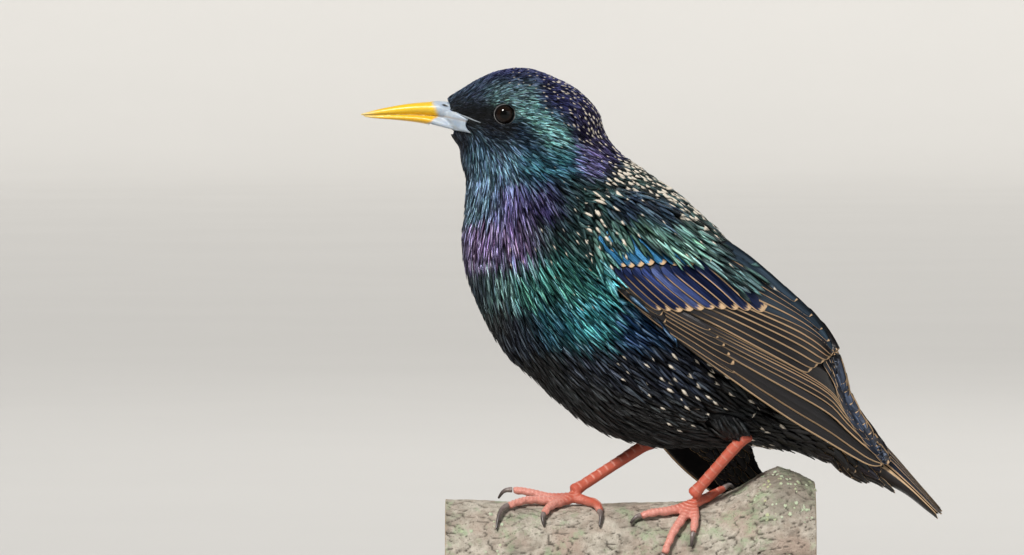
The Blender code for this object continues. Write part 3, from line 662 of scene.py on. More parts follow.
def vane_marks():
    """Node group for a feather's colour, metal, roughness and height from its own coordinates.

    The attribute vane holds u across (-1 to 1), v along (0 at the root) and mark holds the length of the
    tip spot, the width of the fringe and the gloss.
    """
    found = bpy.data.node_groups.get("Vane marks")
    if found:
        return found
    inputs = (
        ("Fringe", "Color", (0.6, 0.4, 0.2, 1)),
        ("Spot", "Color", (0.8, 0.7, 0.6, 1)),
        ("Root", "Color", (0.01, 0.01, 0.01, 1)),
        ("Barbs", "Float", 30.0),
        ("Streaks", "Float", 0.8),
        ("Dark edge", "Float", 0.6),
        ("Root length", "Float", 0.45),
        ("Outer fringe only", "Float", 0.0),
        ("Tip fringe", "Float", 0.24),
        ("Darkest", "Float", 0.3),
        ("Brightest", "Float", 1.8),
        ("Glint", "Color", (0.6, 0.7, 0.7, 1)),
        ("Glints", "Float", 0.0),
    )
    outputs = (("Colour", "Color"), ("Metal", "Float"), ("Rough", "Float"), ("Height", "Float"))
    tree, nodes, given, result = new_group("Vane marks", inputs, outputs)
    u, v, _ = nodes.split(nodes.attribute("vane"))
    spot, fringe, gloss = nodes.split(nodes.attribute("mark"))
    chance = nodes.attribute("chance", "Fac")
    tint = nodes.attribute("tint", "Color")
    edge = abs(u)
    streak = nodes.noise(nodes.join(nodes.sum(u, 2.6, chance * 61.0), v * 1.3, chance * 17.0), 1.6, 3.0)
    # The vane's colour: streaked, lighter or darker than its neighbours and darker at its root; its rim is
    # darkened as painted shade between the strands.
    contrast = nodes.range(streak, 0.3, 0.7, 1.0 - given["Streaks"], 1.5)
    own = nodes.range(chance**2.2, 0.0, 1.0, given["Darkest"], given["Brightest"])
    # Painted shade: the rim of each vane is darkened by the Dark edge share.
    rim_dark = 1.0 - nodes.step(edge, 0.45, 1.0) * given["Dark edge"]
    shade = nodes.lit(tint, contrast * own * rim_dark)
    # Painted highlight: the brightest feathers are mixed part way towards the pale glint colour.
    glinting = chance**4.0 * given["Glints"] * (rim_dark * nodes.step(streak, 0.35, 0.6))
    shade = nodes.mix(glinting * gloss, shade, nodes.mix(0.5, tint, given["Glint"]))
    at_root = 1.0 - nodes.step(v, 0.05, given["Root length"])
    shade = nodes.mix(at_root, shade, given["Root"])
    # The fringe along both sides, or along the outer one only, and round the tip.
    rim_edge = edge * (1.0 - given["Outer fringe only"]) + u * -1.0 * given["Outer fringe only"]
    inner = 1.0 - fringe
    side_fringe = nodes.step(rim_edge, inner - 0.05, inner + 0.02)
    tip_inner = 1.0 - fringe * given["Tip fringe"]
    tip_fringe = nodes.step(v, tip_inner - 0.012, tip_inner)
    fringed = nodes.math("MAXIMUM", side_fringe, tip_fringe) * nodes.math("GREATER_THAN", fringe, 0.01)
    fringed = fringed * nodes.step(v, 0.1, 0.3)
    shade = nodes.mix(fringed, shade, nodes.lit(given["Fringe"], nodes.range(streak, 0.25, 0.75, 0.75, 1.1)))
    # The spot at the tip, with a ragged bowed start.
    bowed = edge**2.0 * 0.35
    spot_start = nodes.sum(streak - 0.5, 0.22, 1.0 - spot * (1.0 - bowed))
    spotted = nodes.step(v, spot_start - 0.03, spot_start + 0.02) * nodes.math("GREATER_THAN", spot, 0.01)
    shade = nodes.mix(spotted, shade, given["Spot"])
    marked = nodes.math("MAXIMUM", fringed, spotted)
    # Barbs slant back from the shaft.
    barbs = nodes.math("SINE", (v - edge * 0.055) * given["Barbs"] * (2 * math.pi))
    shaft = 1.0 - nodes.step(edge, 0.02, 0.12)
    nodes.give(result, "Colour", shade)
    nodes.give(result, "Metal", gloss * (1.0 - marked) * (1.0 - at_root * 0.7))
    nodes.give(result, "Rough", nodes.sum(marked, 0.25, nodes.range(streak, 0.2, 0.8, 0.32, 0.46)))
    nodes.give(result, "Height", barbs * 0.18 + streak * 1.2 + shaft * 0.6)
    return tree


def feather_material(name, relief, spot, **looks):
    """Glossy feather whose colours come from the attributes of the vanes; looks are the group's numbers."""
    tints = bpy.context.scene.starling_tints
    material, nodes, shader = new_material(name)
    values = {"Fringe": tints.buff, "Spot": spot, "Root": tints.black, "Glint": tints.glint}
    values.update({key.replace("_", " ").capitalize(): value for key, value in looks.items()})
    marks = nodes.add("ShaderNodeGroup", values, node_tree=vane_marks())
    nodes.give(shader, "Base Color", marks.outputs["Colour"])
    nodes.give(shader, "Metallic", marks.outputs["Metal"])
    nodes.give(shader, "Roughness", marks.outputs["Rough"])
    bump(nodes, shader, marks.outputs["Height"], relief)
    return material


def label_vertices(points, groups):
    """For each point the number of the nearest group of CAD nodes."""
    trees = []
    for group in groups:
        copy = joined_copy("measure", group)
        trees.append(tree_of(copy))
        bpy.data.meshes.remove(copy.data)
    distances = [[tree.find_nearest(Vector(p))[3] for p in points] for tree in trees]
    return np.array(distances).argmin(0)


def eye_distance(points):
    """Distance from the axis through the eyes, in the side view, in millimetres."""
    return np.hypot(points[:, 0] / MM - EYE_CENTRE[0], points[:, 2] / MM - EYE_CENTRE[2])


# Groups of CAD nodes by which the form's parts are told apart; the body comes first.
LABELS = (
    ("head", "neck", "trunk"), ("thigh_left", "thigh_right"), ("wing_left",), ("wing_right",), ("tail",),
)
THIGH, WING_LEFT, WING_RIGHT, TAIL = range(1, 5)
LID_RADIUS = 3.06
LID_THICKNESS = 0.19
LID_OUT = 1.86


def skin_material():
    """Skin and down under the coat, in the coat's own colours darkened: partly the dark skin and down's own
    tone, partly painted shade in the gaps under the feathers.
    """
    material, nodes, shader = new_material("skin")
    place = nodes.place()
    fine = nodes.noise(place, 900.0, 4.0)
    coarse = nodes.noise(place, 150.0, 2.0)
    # Painted shade: the coat's tint is darkened for the skin that shows between the feathers.
    colour = nodes.lit(nodes.attribute("tint", "Color"), nodes.range(coarse, 0.3, 0.7, 0.25, 0.6))
    lid = nodes.attribute("lid", "Fac")
    bare = bpy.context.scene.starling_bare
    ring = nodes.mix(nodes.range(fine, 0.35, 0.7, 0.0, 0.7), bare.lid, (0.30, 0.30, 0.29))
    nodes.give(shader, "Base Color", nodes.mix(lid, colour, ring))
    nodes.give(shader, "Roughness", nodes.range(fine, 0.2, 0.8, 0.5, 0.75))
    shader.inputs["Specular IOR Level"].default_value = 0.15
    bump(nodes, shader, fine, 0.00008)
    return material


def lid_mesh(side):
    """The bare rim round an eye: a slim ring that hugs the eyeball."""
    shape = bmesh.new()
    around, across = 72, 12
    rings = []
    for i in range(around):
        angle = 2 * math.pi * i / around
        wrinkle = 1 + 0.10 * math.sin(18 * angle) * math.cos(5 * angle)
        ring = []
        for j in range(across):
            turn = 2 * math.pi * j / across
            radius = LID_RADIUS + LID_THICKNESS * wrinkle * math.cos(turn)
            out = EYE_CENTRE[1] + LID_OUT + LID_THICKNESS * 1.3 * math.sin(turn)
            x = EYE_CENTRE[0] + radius * 1.03 * math.cos(angle)
            z = EYE_CENTRE[2] + radius * 0.98 * math.sin(angle)
            ring.append(shape.verts.new((x * MM, side * out * MM, z * MM)))
        rings.append(ring)
    for i, ring in enumerate(rings):
        following = rings[(i + 1) % around]
        for j, corner in enumerate(ring):
            k = (j + 1) % across
            shape.faces.new((corner, ring[k], following[k], following[j]))
    return mesh_of("lid", shape)


def make_skin():
    """Fuses the flesh nodes, sinks the result by the coat's depth and marks it with the coat's colours."""
    sizes = bpy.context.scene.starling_plumage
    skin = fuse(joined_copy("skin", FLESH), sizes.skin_cell, 5)
    points = coordinates(skin.data)
    normals = vertex_normals(skin.data)
    labels = label_vertices(points, LABELS)
    look = plumage_at(points)
    depth = look["length"] * sizes.depth_share * MM
    depth = np.where(labels == THIGH, THIGH_DEPTH * MM, depth)
    depth = np.where(labels >= WING_LEFT, sizes.wing_inset, depth)
    depth *= smooth_step(EYE_RADIUS, EYE_RADIUS + 2.5, eye_distance(points)) * 0.9 + 0.1
    tree = tree_of(skin)
    for i, (point, normal) in enumerate(zip(points, normals)):
        inward = Vector(-normal)
        hit = tree.ray_cast(Vector(point) + inward * 0.05 * MM, inward)
        if hit[0]:
            depth[i] = min(depth[i], SINK_SHARE * hit[3])
    place_vertices(skin.data, points - normals * depth[:, None])
    relaxed(skin, 3)
    points = coordinates(skin.data)
    flight = np.array(bpy.context.scene.starling_tints.flight)
    colours = np.where((labels >= WING_LEFT)[:, None], flight, plumage_at(points)["colour"])
    store(skin.data, "tint", "FLOAT_COLOR", with_alpha(colours))
    store(skin.data, "up", "FLOAT_VECTOR", vertex_normals(skin.data))
    store(skin.data, "lid", "FLOAT", np.zeros(len(points)))
    store(skin.data, "label", "FLOAT", labels)
    form = skin.data.copy()
    form.name = "form"
    # The skin lies deeper under the bare wedge, so that it doesn't show through at the wedge's edge.
    covered = on_wedge(points, 0.7)
    sunk = points - vertex_normals(skin.data) * np.where(covered, 0.6 * MM, 0.0)[:, None]
    sunk[:, 1] *= 1 - 0.24 * covered * smooth_step(-53.0, -55.5, sunk[:, 0] / MM)
    place_vertices(skin.data, sunk)
    add_lids(skin)
    drop(skin.data, "up", "label")
    finish_piece(skin, skin_material(), FLESH)
    object_of("form", form).hide_render = True


def add_lids(skin):
    """Joins the eyes' rims to the skin."""
    for side in SIDES.values():
        lid = lid_mesh(side)
        count = len(lid.vertices)
        store(lid, "lid", "FLOAT", np.ones(count))
        store(lid, "tint", "FLOAT_COLOR", np.full((count, 4), 0.1))
        rim = object_of("rim", lid)
        with bpy.context.temp_override(active_object=skin, selected_editable_objects=[skin, rim]):
            bpy.ops.object.join()


def vane_mesh(name, outline, columns, rows):
    """A closed vane, one unit wide and long, with a raised middle line, ending in a point.

    Its attribute vane holds u, v and the height, all from the vane's own shape.
    """
    shape = bmesh.new()
    layer = shape.verts.layers.float_vector.new("vane")
    grid = []
    for v in rows:
        half = outline(v) / 2
        row = []
        for u in columns:
            vert = shape.verts.new((u * half, v, 1 - u * u))
            vert[layer] = (u, v, 1 - u * u)
            row.append(vert)
        grid.append(row)
    tip = shape.verts.new((0.0, 1.0, 0.35))
    tip[layer] = (0.0, 1.0, 0.35)
    for row, following in zip(grid, grid[1:]):
        for i in range(len(row) - 1):
            shape.faces.new((row[i], row[i + 1], following[i + 1], following[i]))
        shape.faces.new((row[-1], row[0], following[0], following[-1]))
    last = grid[-1]
    for i in range(len(last) - 1):
        shape.faces.new((last[i], last[i + 1], tip))
    shape.faces.new((last[-1], last[0], tip))
    shape.faces.new(tuple(reversed(grid[0])))
    made = object_of(name, mesh_of(name, shape))
    made.hide_render = True
    return made


def hackle_outline(v, narrowing=0.82, turn=1.6):
    """Long and narrow, widest at a third, drawn out to a point."""
    if v < 0.31:
        return 0.55 + 0.45 * math.sin(math.pi * v / 0.62)
    return 1.0 - narrowing * ((v - 0.31) / 0.69) ** turn


def strand_outline(v):
    """Like a hackle, with a blunter tip that leaves room for its spot."""
    return hackle_outline(v, 0.70, 2.8)


def round_outline(v):
    """Broad, with a rounded tip."""
    if v < 0.45:
        return 0.55 + 0.45 * math.sin(math.pi * v / 0.9)
    return max(0.2, 1 - ((v - 0.45) / 0.57) ** 3.2)


VANES = {
    "strand": (strand_outline, (-1.0, 0.0, 1.0), (0.0, 0.4, 0.84)),
    "hackle": (hackle_outline, (-1.0, 0.0, 1.0), (0.0, 0.32, 0.62, 0.86)),
    "small": (round_outline, (-1.0, 0.0, 1.0), (0.0, 0.45, 0.82)),
    "broad": (round_outline, (-1.0, -0.5, 0.0, 0.5, 1.0), (0.0, 0.35, 0.65, 0.86, 0.96)),
}

# Each tract's piece, vane, height of the vane's middle line in widths, and height added over the wing.
TRACTS = {
    "face": ("coat_face", "strand", 0.26, 0.0),
    "crown": ("coat_crown", "strand", 0.24, 0.0),
    "throat": ("coat_neck", "hackle", 0.26, 0.8),
    "breast": ("coat_breast", "hackle", 0.24, 1.5),
    "belly": ("coat_belly", "hackle", 0.16, 0.2),
    "flank": ("coat_flanks", "hackle", 0.15, 0.2),
    "undertail": ("coat_undertail", "broad", 0.10, 0.0),
    "mantle": ("coat_mantle", "small", 0.18, 0.6),
    "rump": ("coat_rump", "broad", 0.10, 0.0),
    "scapulars": ("coat_scapulars", "hackle", 0.20, 1.5),
    "thighs": ("coat_thighs", "small", 0.16, 0.0),
    "underwing": ("coat_underwing", "broad", 0.08, 0.0),
}


def coat_tree():
    """Geometry nodes that lay one vane on each root point and bend it along the form."""
    inputs = (
        ("Vane", "Object"), ("Form", "Object"), ("Material", "Material"),
        ("Swing", "Float"), ("Patch", "Float"), ("Seed", "Int"),
    )
    tree, nodes, given, result = new_geometry("Lay vanes", inputs)
    # Each vane stands on its root, points along its lie and swings a little.
    swing = nodes.random(given["Swing"] * -1.0, given["Swing"], given["Seed"])
    upright = nodes.add("FunctionNodeAlignRotationToVector", {"Vector": nodes.named("up")}, axis="Z")
    values = {"Rotation": upright, "Vector": nodes.named("lie")}
    along = nodes.add("FunctionNodeAlignRotationToVector", values, axis="Y", pivot_axis="Z")
    turn = nodes.add("FunctionNodeEulerToRotation", {0: nodes.join(0.0, 0.0, swing)})
    values = {"Rotation": along, "Rotate By": turn}
    turned = nodes.add("FunctionNodeRotateRotation", values, rotation_space="LOCAL")
    vane = nodes.add("GeometryNodeObjectInfo", {"Object": given["Vane"]}).outputs["Geometry"]
    values = {"Points": given["Geometry"], "Instance": vane, "Rotation": turned}
    values["Scale"] = nodes.named("size")
    laid = nodes.add("GeometryNodeInstanceOnPoints", values)
    real = nodes.add("GeometryNodeRealizeInstances", {"Geometry": laid})
    # Then every point of it is put over the nearest point of the form, at the vane's own height.
    form = nodes.add("GeometryNodeObjectInfo", {"Object": given["Form"]}).outputs["Geometry"]
    nearest = nodes.add("GeometryNodeProximity", {0: form}, target_element="FACES").outputs["Position"]
    values = {"Mesh": form, "Value": nodes.named("up")}
    normal = nodes.add("GeometryNodeSampleNearestSurface", values, data_type="FLOAT_VECTOR").outputs[0]
    across, along, bow = nodes.split(nodes.named("vane"))
    low, high, camber = nodes.split(nodes.named("rise"))
    height = nodes.sum(bow, camber, low + along * (high - low))
    lifted = nodes.add("ShaderNodeVectorMath", {0: normal, "Scale": height}, operation="SCALE")
    place = nodes.add("ShaderNodeVectorMath", {0: nearest, 1: lifted}, operation="ADD")
    bent = nodes.add("GeometryNodeSetPosition", {"Geometry": real, "Position": place})
    patch = nodes.join(across * (given["Patch"] * 0.5), (along - 0.5) * given["Patch"])
    spread = nodes.add("ShaderNodeVectorMath", {0: nodes.named("place"), 1: patch}, operation="ADD")
    values = {"Geometry": bent, "Name": "OFBake", "Value": spread}
    mapped = nodes.add("GeometryNodeStoreNamedAttribute", values, data_type="FLOAT2", domain="CORNER")
    smooth = nodes.add("GeometryNodeSetShadeSmooth", {"Geometry": mapped})
    dressed = nodes.add("GeometryNodeSetMaterial", {"Geometry": smooth, "Material": given["Material"]})
    nodes.give(result, "Geometry", dressed)
    return tree


def grow(made, tree, values):
    """Runs a geometry node tree on an object, with its inputs by name, and keeps the result as its mesh."""
    layer = made.modifiers.new("grow", "NODES")
    layer.node_group = tree
    for item in tree.interface.items_tree:
        if item.item_type == "SOCKET" and item.in_out == "INPUT" and item.name in values:
            layer[item.identifier] = values[item.name]
    settle(made)


class Roots(NamedTuple):
    """Root points of feathers, with the values of their zones."""

    point: np.ndarray
    normal: np.ndarray
    label: np.ndarray
    look: dict


def triangles_of(mesh):
    mesh.calc_loop_triangles()
    corners = np.empty(len(mesh.loop_triangles) * 3, np.int32)
    mesh.loop_triangles.foreach_get("vertices", corners)
    return corners.reshape(-1, 3)


def scatter(form, seed):
    """Candidate roots on the form, denser where the feathers are smaller, each with its zone's values."""
    mesh = form.data
    points, normals, label = coordinates(mesh), read(mesh.attributes["up"].data, "vector"), labels_of(mesh)
    corners = triangles_of(mesh)
    a, b, c = (points[corners[:, i]] for i in range(3))
    area = np.linalg.norm(np.cross(b - a, c - a), axis=1) / 2
    spacing = plumage_of(a, normals[corners[:, 0]], label[corners[:, 0]])["spacing"] * MM
    wanted = area / spacing**2 * TRIES
    random = np.random.RandomState(seed)
    count = int(wanted.sum())
    chosen = random.choice(len(corners), count, p=wanted / wanted.sum())
    first, second = random.rand(count), random.rand(count)
    fold = first + second > 1
    first[fold], second[fold] = 1 - first[fold], 1 - second[fold]
    share = np.stack([1 - first - second, first, second], 1)[:, :, None]
    picked = corners[chosen]
    point = (points[picked] * share).sum(1)
    normal = (normals[picked] * share).sum(1)
    normal /= np.linalg.norm(normal, axis=1, keepdims=True)
    label = label[picked[:, 0]]
    return Roots(point, normal, label, plumage_of(point, normal, label))


def faces_in(normals, label):
    """True where a wing's surface faces the body."""
    left = (label == WING_LEFT) & (normals[:, 1] > 0.3)
    right = (label == WING_RIGHT) & (normals[:, 1] < -0.3)
    return left | right


def plumage_of(points, normals, label):
    """The zones' values at points of the form, with those of the parts that have zones of their own."""
    look = plumage_at(points)
    put_zone(look, faces_in(normals, label), UNDERWING_ZONE)
    put_zone(look, label == THIGH, THIGH_ZONE)
    return look


def put_zone(look, chosen, zone):
    """Gives the chosen roots one zone's values."""
    tints = bpy.context.scene.starling_tints
    for name in ("length", "width", "spacing", "gloss", "spot_gap", "spot", "fringe"):
        look[name] = np.where(chosen, getattr(zone, name), look[name])
    angle = math.radians(zone.lie)
    look["lie"] = np.where(chosen[:, None], (math.cos(angle), 0.0, math.sin(angle)), look["lie"])
    look["colour"] = np.where(chosen[:, None], tuple(getattr(tints, zone.tint)), look["colour"])
    look["tract"] = np.where(chosen, zone.tract, look["tract"])


def thin_out(points, gaps, order):
    """Keeps points in this order, each at least its own gap from those kept before."""
    tree = KDTree(len(points))
    for i, point in enumerate(points):
        tree.insert(point, i)
    tree.balance()
    free = np.ones(len(points), bool)
    kept = []
    for i in order:
        if free[i]:
            kept.append(i)
            for _, j, _ in tree.find_range(points[i], gaps[i]):
                free[j] = False
    return np.array(kept)


def roots_of_coat():
    """Roots of all body feathers: spaced, kept off eyes, bill and wings, with spots chosen."""
    sizes = bpy.context.scene.starling_plumage
    form = bpy.data.objects["form"]
    roots = scatter(form, sizes.seed)
    look = roots.look
    wing = (roots.label == WING_LEFT) | (roots.label == WING_RIGHT)
    keep = ~wing | np.isin(look["tract"], (*ON_WING, "underwing"))
    over_tail = np.isin(look["tract"], ("rump", "undertail")) & (roots.point[:, 0] < COVERTS_END * MM)
    keep &= (roots.label != TAIL) | over_tail
    tip = roots.point + look["lie"] * look["length"][:, None] * 0.75 * MM
    keep &= eye_distance(roots.point) > EYE_CLEAR
    keep &= eye_distance(tip) > EYE_CLEAR - 0.1
    keep &= ~on_wedge(roots.point)
    keep &= (roots.point[:, 0] > CHIN[0] * MM) | (np.abs(roots.point[:, 2] / MM - CHIN[1]) > CHIN_GAP)
    bill = tree_of(joined_guide("bill_guide", BILL_NODES))
    for i in np.nonzero(keep & (roots.point[:, 0] < -44 * MM))[0]:
        keep[i] = bill.find_nearest(Vector(roots.point[i]))[3] > BILL_CLEAR * MM
    places = np.nonzero(keep)[0]
    random = np.random.RandomState(sizes.seed + 1)
    order = random.permutation(len(places))
    kept = places[thin_out(roots.point[places], look["spacing"][places] * MM, order)]
    look = {name: values[kept] for name, values in look.items()}
    roots = Roots(roots.point[kept], roots.normal[kept], roots.label[kept], look)
    gaps = look["spot_gap"] * MM
    by_thigh = np.hypot(roots.point[:, 0] / MM - BY_THIGH[0], roots.point[:, 2] / MM - BY_THIGH[1])
    may = np.nonzero((gaps > 0) & (by_thigh >= BY_THIGH_REACH))[0]
    spotted = may[thin_out(roots.point[may], gaps[may], random.permutation(len(may)))]
    spot = np.zeros(len(kept))
    spot[spotted] = look["spot"][spotted] * (0.75 + 0.5 * random.rand(len(spotted)))
    look["spot"] = spot
    return roots


def joined_guide(name, nodes):
    """A copy of CAD nodes to measure from, which never shows."""
    guide = bpy.data.objects.get(name) or joined_copy(name, nodes)
    guide.hide_render = True
    return guide


# The middle line of the body in the side view, from the bill to the tail, for the bake map.
SPINE = (
    (-66, 184), (-50, 184), (-36, 184), (-26, 178), (-25, 165), (-22, 150), (-8, 130), (10, 112), (40, 96),
    (62, 82), (86, 62),
)


def unwrap(points):
    """Place of points on a map of the body: turn round the middle line, and length along it."""
    spine = np.array(SPINE, float) * MM
    flat = points[:, [0, 2]]
    start, step = spine[:-1], np.diff(spine, axis=0)
    lengths = np.linalg.norm(step, axis=1)
    before = np.concatenate([[0.0], np.cumsum(lengths)[:-1]])
    offset = flat[:, None, :] - start[None]
    share = np.clip((offset * step).sum(2) / lengths**2, 0.0, 1.0)
    gap = offset - share[:, :, None] * step
    best = np.linalg.norm(gap, axis=2).argmin(1)
    rows = np.arange(len(points))
    along = before[best] + share[rows, best] * lengths[best]
    direction = step[best] / lengths[best][:, None]
    side = gap[rows, best]
    above = side[:, 1] * direction[:, 0] - side[:, 0] * direction[:, 1]
    turn = np.arctan2(points[:, 1], above) / (2 * math.pi) + 0.5
    return np.stack([turn, along / lengths.sum()], 1)


def fit_to_map(places, margin=0.02):
    low, high = places.min(0), places.max(0)
    return margin + (places - low) / np.maximum(high - low, 1e-6) * (1 - 2 * margin)


class WingMap:
    """Finds shares of a folded wing's length and breadth for places in the side view."""

    def __init__(self, outline):
        self.shares = [(0.01 * i, 0.02 * j - 0.2) for i in range(101) for j in range(71)]
        rows = [between(outline, 0.01 * i) for i in range(101)]
        self.tree = KDTree(len(self.shares))
        for index, (along, down) in enumerate(self.shares):
            row = rows[round(along * 100)]
            x, z = row[0] + (row[2] - row[0]) * down, row[1] + (row[3] - row[1]) * down
            self.tree.insert((x * MM, 0.0, z * MM), index)
        self.tree.balance()

    def find(self, places):
        return np.array([self.shares[self.tree.find((p[0], 0.0, p[2]))[1]] for p in places]).reshape(-1, 2)


def wing_shares(places):
    """Shares of the length and breadth of the wing on the same side, for places in the side view."""
    shares = np.zeros((len(places), 2))
    for outline, side in ((NEAR_WING, -1), (FAR_WING, 1)):
        chosen = places[:, 1] * side > 0
        shares[chosen] = WingMap(outline).find(places[chosen])
    return shares.T


def below_coverts(places):
    """True where a place in the side view lies beyond the line at which the shoulder feathers end."""
    upper, lower = np.array(SHOULDER_EDGE), np.array(LOWER_EDGE)
    along, down = wing_shares(places)
    past = down > np.interp(along, upper[:, 0], upper[:, 1])
    return past & (down < np.interp(along, lower[:, 0], lower[:, 1]))


def runs_smoothly(point, normal, lie, length, width, tree):
    """True where the surface under a vane neither folds nor jumps along or across it."""
    across = np.cross(normal, lie) * width[:, None] / 2
    middle = point + lie * (length * 0.5)[:, None]
    places = [point + lie * (length * share)[:, None] for share in (0.0, 0.3, 0.6, 0.9)]
    places += [middle - across, middle + across]
    found = [np.array([tree.find_nearest(Vector(spot))[0] for spot in row]) for row in places]
    moves = [after - before for before, after in zip(found[:3], found[1:4])]
    sizes = [np.linalg.norm(move, axis=1) / (length * 0.3) for move in moves]
    good = np.all([(size > 0.35) & (size < 1.5) for size in sizes], 0)
    breadth = np.linalg.norm(found[5] - found[4], axis=1) / width
    good &= (breadth > 0.5) & (breadth < 1.35)
    for i in (0, 1):
        turned = (moves[i] * moves[i + 1]).sum(1) / (length * 0.3) ** 2
        good &= turned > 0.75 * sizes[i] * sizes[i + 1]
    return good


def lay_coat(tract, roots, form, tree, vanes, material, surface):
    """One piece of the coat: the vanes of one tract."""
    name, vane, camber, over_wing = TRACTS[tract]
    look = roots.look
    chosen = np.nonzero(look["tract"] == tract)[0]
    sizes = bpy.context.scene.starling_plumage
    point, normal = roots.point[chosen], roots.normal[chosen]
    lie = look["lie"][chosen]
    lie = lie - (lie * normal).sum(1, keepdims=True) * normal
    lie /= np.maximum(np.linalg.norm(lie, axis=1, keepdims=True), 1e-9)
    random = np.random.RandomState(sizes.seed + len(tract))
    count = len(chosen)
    length = look["length"][chosen] * (0.85 + 0.3 * random.rand(count)) * MM
    width = look["width"][chosen] * (0.85 + 0.3 * random.rand(count)) * MM
    tips = point + lie * length[:, None] * 0.9
    label, tip_normal = surface(tips)
    onto = (label == WING_LEFT) | (label == WING_RIGHT)
    turned = (normal * tip_normal).sum(1)
    keep = turned > (0.6 if tract == "underwing" else 0.2)
    middle_normal = surface(point + lie * length[:, None] * 0.5)[1]
    keep &= (normal * middle_normal).sum(1) > 0.3
    if tract in (*ON_WING, "throat", "rump"):
        keep &= runs_smoothly(point, normal, lie, length, width, tree_of(form))
    keep &= (label != THIGH) | (tract == "thighs")
    if tract in UNDER_WING:
        keep &= ~onto
    if tract in ON_WING:
        keep &= ~(below_coverts(tips) & (onto | (roots.label[chosen] >= WING_LEFT)))
    from_wing = (roots.label[chosen] == WING_LEFT) | (roots.label[chosen] == WING_RIGHT)
    raised = np.where(onto | from_wing, over_wing, 0.0) * MM
    depth = length * sizes.depth_share
    low = 0.02 * MM + raised * np.where(from_wing, 0.8, 0.3)
    high = depth * (0.9 + 0.35 * random.rand(count)) + 0.05 * MM + raised
    if tract == "underwing":
        keep &= wing_shares(tips)[1] < 0.8
    if tract == "thighs":
        ankles = [np.array(leg[0]) * MM for leg in LEGS.values()]
        gap = np.min([np.linalg.norm(tips - ankle, axis=1) for ankle in ankles], 0)
        high += CUFF * MM * np.exp(-((gap / MM / CUFF_REACH) ** 2))
    # A vane on a wing's hollow inner face starts off it, or it would be bent onto the outer face.
    start = point + normal * (1.2 * MM if tract == "underwing" else 0.0)
    mesh = bpy.data.meshes.new(name)
    mesh.from_pydata(start[keep].tolist(), [], [])
    colour = look["colour"][chosen] * (1 + 0.25 * (random.rand(count, 3) - 0.5))
    mark = np.stack([look["spot"][chosen], look["fringe"][chosen], look["gloss"][chosen]], 1)
    values = {
        "up": ("FLOAT_VECTOR", normal),
        "lie": ("FLOAT_VECTOR", lie),
        "size": ("FLOAT_VECTOR", np.stack([width, length, width * camber], 1)),
        "rise": ("FLOAT_VECTOR", np.stack([low, high, width * camber], 1)),
        "tint": ("FLOAT_COLOR", with_alpha(np.clip(colour, 0, 1))),
        "mark": ("FLOAT_VECTOR", mark),
        "chance": ("FLOAT", random.rand(count)),
        "place": ("FLOAT_VECTOR", np.concatenate([fit_to_map(unwrap(point)), np.zeros((count, 1))], 1)),
    }
    for key, (kind, array) in values.items():
        store(mesh, key, kind, array[keep])
    coat = object_of(name, mesh)
    inputs = {"Vane": vanes[vane], "Form": form, "Material": material}
    inputs.update({"Swing": sizes.swing, "Patch": sizes.patch, "Seed": sizes.seed})
    grow(coat, tree, inputs)
    drop(coat.data, "up", "lie", "size", "rise", "place")
    finish_piece(coat, smooth=False)


def make_coat():
    """Every tract of body feathers."""
    form = bpy.data.objects["form"]
    roots = roots_of_coat()
    points, label = coordinates(form.data), labels_of(form.data)
    normals = read(form.data.attributes["up"].data, "vector")
    nearest = KDTree(len(points))
    for i, point in enumerate(points):
        nearest.insert(point, i)
    nearest.balance()

    def surface(places):
        found = np.array([nearest.find(place)[1] for place in places], int)
        return label[found], normals[found]

    tree = coat_tree()
    vanes = {name: vane_mesh("vane_" + name, *shape) for name, shape in VANES.items()}
    cream = bpy.context.scene.starling_tints.cream
    hackle = feather_material(
        "body_feathers", 0.00012, cream, barbs=26.0, streaks=0.8, dark_edge=0.85, root_length=0.40,
        darkest=0.22, brightest=2.3, glints=1.0,
    )
    broad = feather_material(
        "covering_feathers", 0.00006, cream, barbs=34.0, streaks=0.8, dark_edge=0.75, root_length=0.45,
        darkest=0.35, brightest=1.5, glints=0.15,
    )
    for tract, (_, vane, _, _) in TRACTS.items():
        lay_coat(tract, roots, form, tree, vanes, broad if vane == "broad" else hackle, surface)
    for vane in vanes.values():
        bpy.data.objects.remove(vane)


# Outline of the folded near wing: upper x, upper z, lower x, lower z, from the shoulder to the tip.
NEAR_WING = (
    (-15.0, 160.0, -17.6, 153.4),
    (-8.0, 161.8, -14.6, 144.0),
    (3.4, 158.6, -7.0, 131.8),
    (15.6, 151.2, 3.6, 121.6),
    (28.6, 143.6, 17.0, 112.0),
    (40.0, 134.0, 31.6, 101.8),
    (50.6, 123.8, 45.2, 92.8),
    (57.6, 113.2, 55.6, 86.6),
    (60.4, 101.8, 63.4, 81.8),
    (66.6, 91.0, 69.2, 78.4),
    (73.0, 80.2, 74.4, 77.0),
)
# Outline of the lowered far wing.
FAR_WING = (
    (-14.4, 159.0, -17.6, 150.6),
    (-6.6, 160.6, -16.8, 138.2),
    (4.0, 157.0, -14.6, 124.6),
    (14.6, 148.6, -10.4, 112.2),
    (23.0, 137.6, -4.8, 100.8),
    (28.4, 124.6, 1.0, 91.0),
    (30.8, 111.4, 6.8, 82.8),
    (31.6, 99.2, 13.4, 75.8),
    (33.0, 88.4, 20.2, 70.2),
    (36.2, 79.2, 28.0, 64.0),
    (42.6, 66.6, 38.4, 56.2),
    (49.8, 53.6, 48.6, 50.8),
)


